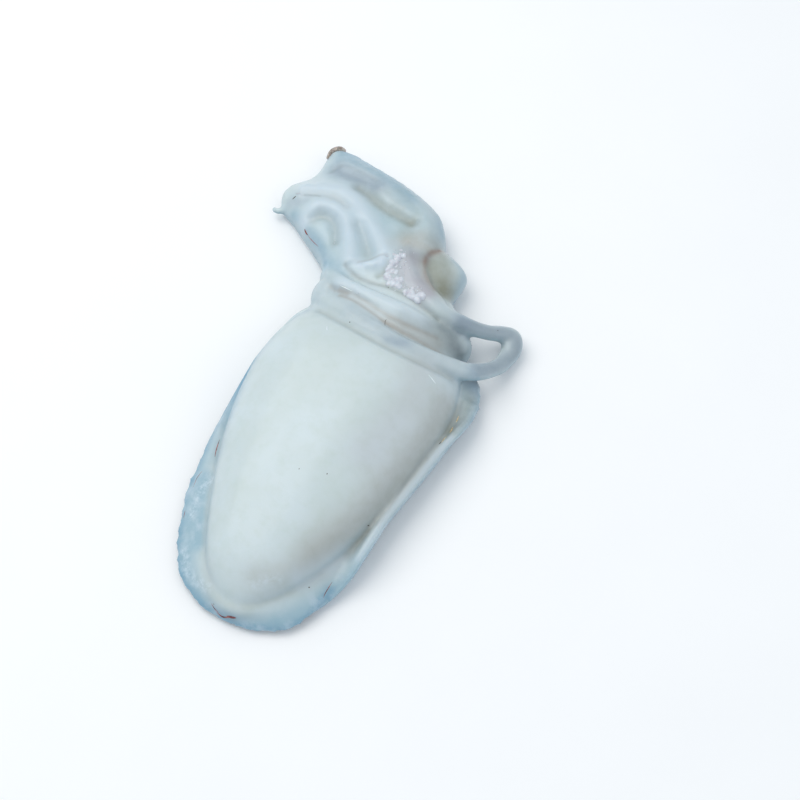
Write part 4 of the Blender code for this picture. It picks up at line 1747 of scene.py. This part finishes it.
@dataclass(frozen=True)
class TornTissue:
    """The patch of torn, curdled tissue between the arms and the flap."""

    outline: tuple[Place, ...] = (
        (-4.2, 119.8),
        (-10.0, 118.0),
        (-16.0, 115.0),
        (-16.0, 105.4),
        (-15.0, 96.4),
        (-12.0, 93.8),
        (-7.2, 92.6),
        (-1.9, 92.0),
        (5.6, 91.6),
        (8.6, 94.2),
        (4.4, 99.8),
        (-0.6, 106.4),
        (-3.6, 112.9),
    )
    curdled_edge: tuple[Place, ...] = (
        (-14.6, 113.4),
        (-13.8, 109.4),
        (-13.4, 105.4),
        (-12.8, 100.9),
        (-12.4, 97.6),
        (-8.4, 96.4),
        (-4.4, 95.1),
        (0.0, 94.2),
        (5.2, 94.0),
    )
    # Small white bits: froth at the nib, and painted glints on the arms, the collar and the flap.
    crumbs_and_glints: tuple[tuple[float, float, float], ...] = (
        (-76.2, 129.2, 0.35),
        (-75.2, 129.0, 0.5),
        (-74.4, 129.6, 0.4),
        (-73.3, 129.1, 0.45),
        (-46.3, 110.9, 0.35),
        (-45.9, 109.4, 0.4),
        (-21.3, 83.5, 0.4),
        (-20.2, 83.9, 0.35),
        (-17.7, 108.3, 0.5),
        (-18.6, 108.0, 0.35),
        (-16.7, 113.4, 0.45),
        (14.4, 86.2, 0.35),
    )
    ragged: tuple[Row, ...] = (
        (31.6, 91.2, 9.8, 0.6),
        (30.0, 92.4, 9.8, 0.7),
        (32.9, 89.5, 9.8, 0.5),
    )
    lumps: int = 110
    grains: int = 120
    lump_spread: float = 1.4
    grain_spread: float = 2.8
    smallest: float = 0.35
    largest_lump: float = 2.1
    largest_grain: float = 0.735
    size_power: float = 1.5
    least_axis: float = 0.8
    axis_range: float = 0.4
    sink: float = 0.55
    edge_steps: int = 8
    voxel: float = 0.25
    passes: int = 6
    seed: int = 11

    def build(self, surface: Surface) -> bpy.types.Object:
        """Makes the patch: lumps close to the curdled edge, grains further off, and crumbs, some of them
        white bits set as painted glints.

        Args:
            surface: The skin that it lies on.

        Returns:
            The patch.
        """
        draw = np.random.default_rng(self.seed)
        edge = smooth_line(self.curdled_edge, self.edge_steps)
        shells = ClosedShells()
        for count, spread, largest in (
            (self.lumps, self.lump_spread, self.largest_lump),
            (self.grains, self.grain_spread, self.largest_grain),
        ):
            spots = edge[draw.integers(0, len(edge), count)] + draw.normal(0.0, spread, (count, 2))
            spots = spots[inside_outline(spots, np.array(self.outline))]
            for x, y in spots:
                radius = self.smallest + (largest - self.smallest) * draw.random() ** self.size_power
                half_axes = radius * (self.least_axis + self.axis_range * draw.random(3))
                centre = (x, y, surface.height(x, y) - self.sink * radius)
                Lobe(centre, tuple(half_axes), FULL_TURN * draw.random()).add_to(shells, BEAD)
        for x, y, radius in self.crumbs_and_glints:
            shells.add(BEAD.points * radius + (x, y, surface.height(x, y)), BEAD.faces)
        for x, y, z, radius in self.ragged:
            shells.add(BEAD.points * radius + (x, y, z), BEAD.faces)
        tissue = shells.to_object("torn_tissue")
        fuse(tissue, self.voxel, self.passes)
        return tissue


@dataclass(frozen=True)
class SkinScrap:
    """The scrap of brown skin left on the tip of the right arm."""

    rows: tuple[Row, ...] = (
        (-74.6, 159.2, 7.6, 0.8),
        (-74.5, 161.2, 8.0, 1.1),
        (-74.1, 163.2, 8.2, 1.3),
        (-72.9, 164.8, 8.3, 1.5),
        (-70.9, 166.0, 8.3, 1.5),
        (-68.9, 166.3, 8.0, 0.9),
    )
    plates: int = 5
    plate_shape: Point = (1.0, 0.6, 0.35)
    least_plate: float = 0.6
    plate_range: float = 0.5
    shift: float = 0.4
    path_steps: int = 12
    voxel: float = 0.3
    passes: int = 2
    seed: int = 5

    def build(self) -> bpy.types.Object:
        """Makes the scrap: small overlapping plates along a curl.

        Returns:
            The scrap.
        """
        draw = np.random.default_rng(self.seed)
        shells = ClosedShells()
        Limb(self.rows).add_to(shells)
        path = smooth_line(self.rows, self.path_steps)
        for row in path[draw.integers(0, len(path), self.plates)]:
            centre = row[:3] + draw.normal(0.0, self.shift, 3) * row[3]
            size = self.least_plate + self.plate_range * draw.random()
            half_axes = row[3] * np.array(self.plate_shape) * size
            Lobe(tuple(centre), tuple(half_axes), FULL_TURN * draw.random()).add_to(shells, BEAD)
        scrap = shells.to_object("skin_scrap")
        fuse(scrap, self.voxel, self.passes)
        return scrap


@dataclass(frozen=True)
class Streaks:
    """Thin streaks laid on the skin: lines in plan, each with its radius."""

    name: str
    lines: tuple[tuple[float, tuple[Place, ...]], ...]
    sink: float = 0.3
    end_share: float = 0.35
    taper: float = 0.6
    flatness: float = 0.6
    steps: int = 8
    around: int = 8

    def build(self, surface: Surface) -> bpy.types.Object:
        """Makes the streaks as thin tubes that follow the skin.

        Args:
            surface: The skin that they lie on.

        Returns:
            All the streaks as one piece.
        """
        shells = ClosedShells()
        for radius, line in self.lines:
            shells.add_rings(self.rings(surface, radius, smooth_line(line, self.steps)))
        return shells.to_object(self.name)

    def rings(self, surface: Surface, radius: float, path: np.ndarray) -> list[np.ndarray]:
        """Makes the rings of one streak, flat and thin at both ends.

        Args:
            surface: The skin that it lies on.
            radius: Its radius where it is widest.
            path: The places in plan that it runs through.

        Returns:
            One ring of points for each place.
        """
        turns = 2 * np.pi * np.arange(self.around) / self.around
        length = len(path) - 1 + 2 * self.end_share
        rings = []
        for i, spot in enumerate(path):
            ahead = path[min(i + 1, len(path) - 1)] - path[max(i - 1, 0)]
            ahead /= np.linalg.norm(ahead)
            side = np.array((-ahead[1], ahead[0]))
            wide = radius * math.sin(math.pi * (i + self.end_share) / length) ** self.taper
            high = self.flatness * wide
            z = surface.height(*spot) - self.sink * radius
            ring = [(*(spot + side * wide * math.cos(t)), z + high * math.sin(t)) for t in turns]
            rings.append(np.array(ring))
        return rings


THREADS = Streaks(
    "red_threads",
    (
        (0.30, ((-47.8, 0.1), (-47.1, -3.3), (-46.5, -6.0), (-45.7, -8.8))),
        (0.22, ((-46.6, -4.6), (-46.2, -7.0), (-45.2, -9.4))),
        (0.18, ((-47.8, -15.9), (-48.4, -18.3), (-48.7, -20.5), (-48.2, -25.0))),
        (0.18, ((-46.5, -34.7), (-46.0, -36.4), (-45.5, -38.3))),
        (0.40, ((-12.6, -69.0), (-9.6, -69.6), (-7.2, -69.2), (-5.0, -68.8))),
        (0.75, ((-7.6, -69.0), (-5.6, -68.7), (-3.4, -68.3))),
        (0.22, ((-16.0, -67.0), (-13.4, -68.4), (-11.4, -69.0))),
        (0.20, ((25.9, -37.2), (25.4, -40.8), (25.1, -43.9), (25.3, -46.2))),
        (0.55, ((-63.9, 113.6), (-62.6, 112.5), (-61.2, 111.5))),
        (0.22, ((-61.4, 111.6), (-58.3, 109.6), (-55.1, 107.8), (-52.9, 106.6))),
    ),
)

FLECKS = Streaks(
    "yellow_flecks",
    (
        (0.45, ((42.7, 46.9), (43.0, 45.0), (42.8, 42.6))),
        (0.35, ((42.6, 53.5), (42.9, 51.0), (43.0, 48.9))),
        (0.30, ((42.4, 41.2), (42.0, 38.6), (41.6, 36.1))),
    ),
)

# Near-white streaks set where the skin shows wet glints: painted highlights, partly slime.
SLIME_AND_GLINT_STREAKS = Streaks(
    "slime_and_glint_streaks",
    (
        (0.40, ((25.3, 57.6), (27.8, 56.6), (30.3, 55.6))),
        (0.22, ((-24.4, 60.2), (-23.6, 58.4), (-22.6, 56.8))),
        (0.30, ((-31.0, 85.6), (-27.0, 84.8), (-23.8, 84.2))),
    ),
)

SLITS = Streaks(
    "dark_slits",
    (
        (0.34, ((-77.2, 126.2), (-76.4, 127.2), (-75.5, 128.0))),
        (0.30, ((-74.1, 160.2), (-73.3, 162.2), (-72.2, 163.5), (-70.6, 164.6), (-68.9, 165.5))),
        (0.26, ((7.4, -4.4), (7.6, -4.1), (7.9, -3.9))),
        (0.22, ((-4.0, -7.3), (-3.7, -7.2), (-3.5, -7.0))),
        (0.34, ((29.5, -11.9), (29.8, -11.7), (30.2, -11.4))),
        (0.34, ((18.1, -45.0), (18.4, -44.8), (18.8, -44.6))),
        (0.30, ((-17.4, 67.4), (-17.0, 67.4), (-16.6, 67.3))),
        (0.24, ((41.2, 99.2), (41.5, 99.3), (41.8, 99.4))),
        (0.16, ((-3.2, 76.9), (-3.4, 75.4), (-2.8, 73.6), (-1.9, 71.9))),
        (0.22, ((41.6, 37.4), (41.2, 36.0), (40.9, 35.0))),
    ),
)


# Floor, light and camera


@dataclass(frozen=True)
class Lamp:
    """A soft square lamp: watts, metres and colour, and where it stands as the view sees it."""

    name: str
    power: float
    size: float
    colour: Colour
    left: float
    away: float
    height: float


KEY_LAMP = Lamp("key", 5.4, 0.9, (1.0, 0.99, 0.96), 0.42, 0.28, 0.95)
FILL_LAMP = Lamp("fill", 0.6, 0.6, (0.9, 0.95, 1.0), -0.7, -0.3, 0.5)


@dataclass(frozen=True)
class Studio:
    """A pale floor, soft light from the upper left of the view, and the camera, in metres."""

    azimuth: float = 25.0
    elevation: float = 62.0
    lens: float = 60.0
    sensor: float = 36.0
    nearest: float = 0.01
    distance: float = 0.603
    target: Point = (0.02918, 0.00673, 0.0)
    lamp_aim: Point = (0.0, 0.0, 0.01)
    floor_half: float = 3.0
    floor_colour: Colour = display(251, 252, 253)
    floor_shade: float = 0.97
    floor_patches: Noise = Noise(60.0)
    floor_roughness: float = 0.8
    sky_low: Colour = display(196, 214, 230)
    sky_high: Colour = display(240, 243, 246)
    sky_low_end: float = 0.05
    sky_high_start: float = 0.75
    sky_strength: float = 0.8

    def way_back(self) -> Vector:
        """Gives the way from the target to the camera."""
        turn, lift = math.radians(self.azimuth), math.radians(self.elevation)
        return Vector((math.sin(turn) * math.cos(lift), -math.cos(turn) * math.cos(lift), math.sin(lift)))

    def add_object(self, name: str, data: bpy.types.ID, place: Vector, aim: Vector) -> bpy.types.Object:
        """Adds a lamp or camera at a place, aimed at a point.

        Args:
            name: The new object's name.
            data: What it holds.
            place: Where it stands.
            aim: The point that it looks at.

        Returns:
            The new object.
        """
        made = bpy.data.objects.new(name, data)
        made.location = place
        made.rotation_euler = (aim - place).to_track_quat("-Z", "Y").to_euler()
        bpy.context.scene.collection.objects.link(made)
        return made

    def add_camera(self) -> None:
        """Adds the camera at the photograph's viewing angle."""
        data = bpy.data.cameras.new("camera")
        data.lens = self.lens
        data.sensor_width = self.sensor
        data.clip_start = self.nearest
        aim = Vector(self.target)
        place = aim + self.way_back() * self.distance
        bpy.context.scene.camera = self.add_object("camera", data, place, aim)

    def add_lamp(self, lamp: Lamp) -> None:
        """Adds a soft lamp that looks at the mantle.

        Args:
            lamp: The lamp's size, power and place.
        """
        data = bpy.data.lights.new(lamp.name, "AREA")
        data.energy = lamp.power
        data.size = lamp.size
        data.color = lamp.colour
        turn = math.radians(self.azimuth)
        left = Vector((-math.cos(turn), -math.sin(turn), 0.0))
        away = Vector((-math.sin(turn), math.cos(turn), 0.0))
        up = Vector((0.0, 0.0, 1.0))
        place = lamp.left * left + lamp.away * away + lamp.height * up
        self.add_object(lamp.name, data, place, Vector(self.lamp_aim))

    def add_sky(self) -> None:
        """Adds a sky that is blue low down and pale overhead."""
        world = bpy.data.worlds.new("sky")
        bpy.context.scene.world = world
        world.use_nodes = True
        tree = world.node_tree
        background = tree.nodes["Background"]
        background.inputs["Strength"].default_value = self.sky_strength
        place = tree.nodes.new("ShaderNodeTexCoord")
        split = tree.nodes.new("ShaderNodeSeparateXYZ")
        ramp = tree.nodes.new("ShaderNodeValToRGB")
        low, high = ramp.color_ramp.elements
        low.position, low.color = self.sky_low_end, (*self.sky_low, 1.0)
        high.position, high.color = self.sky_high_start, (*self.sky_high, 1.0)
        tree.links.new(place.outputs["Generated"], split.inputs["Vector"])
        tree.links.new(split.outputs["Z"], ramp.inputs["Fac"])
        tree.links.new(ramp.outputs["Color"], background.inputs["Color"])

    def add_floor(self) -> None:
        """Adds the floor, which is not part of the object."""
        half = self.floor_half
        corners = ((-half, -half, 0.0), (half, -half, 0.0), (half, half, 0.0), (-half, half, 0.0))
        mesh = bpy.data.meshes.new("floor")
        mesh.from_pydata(corners, [], [(0, 1, 2, 3)])
        board = NodeBoard("floor")
        patches = board.noise(self.floor_patches)
        low = tuple(self.floor_shade * value for value in self.floor_colour)
        board.join(board.blend(patches, low, self.floor_colour), board.shader.inputs["Base Color"])
        board.set_shader(Roughness=self.floor_roughness)
        mesh.materials.append(board.material)
        floor = bpy.data.objects.new("floor", mesh)
        bpy.context.scene.collection.objects.link(floor)

    def build(self) -> None:
        """Adds everything round the object."""
        self.add_floor()
        self.add_lamp(KEY_LAMP)
        self.add_lamp(FILL_LAMP)
        self.add_sky()
        self.add_camera()
        bpy.context.scene.view_settings.view_transform = "Standard"


def main() -> None:
    """Builds each piece in order, dresses it and reports it."""
    logging.basicConfig(level=logging.INFO, format="%(name)s: %(message)s")
    Studio().build()
    flesh = Flesh().build()
    surface = Surface(flesh)
    small_pieces = (
        (TornTissue().build(surface), CurdFinish()),
        (SkinScrap().build(), SCRAP_FINISH),
        (THREADS.build(surface), THREAD_FINISH),
        (FLECKS.build(surface), FLECK_FINISH),
        (SLIME_AND_GLINT_STREAKS.build(surface), SLIME_AND_GLINT_FINISH),
        (SLITS.build(surface), SLIT_FINISH),
    )
    finish_piece(flesh, FleshFinish().material())
    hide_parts(NODE)
    for piece, finish in small_pieces:
        finish_piece(piece, finish.material())


if __name__ == "__main__":
    main()
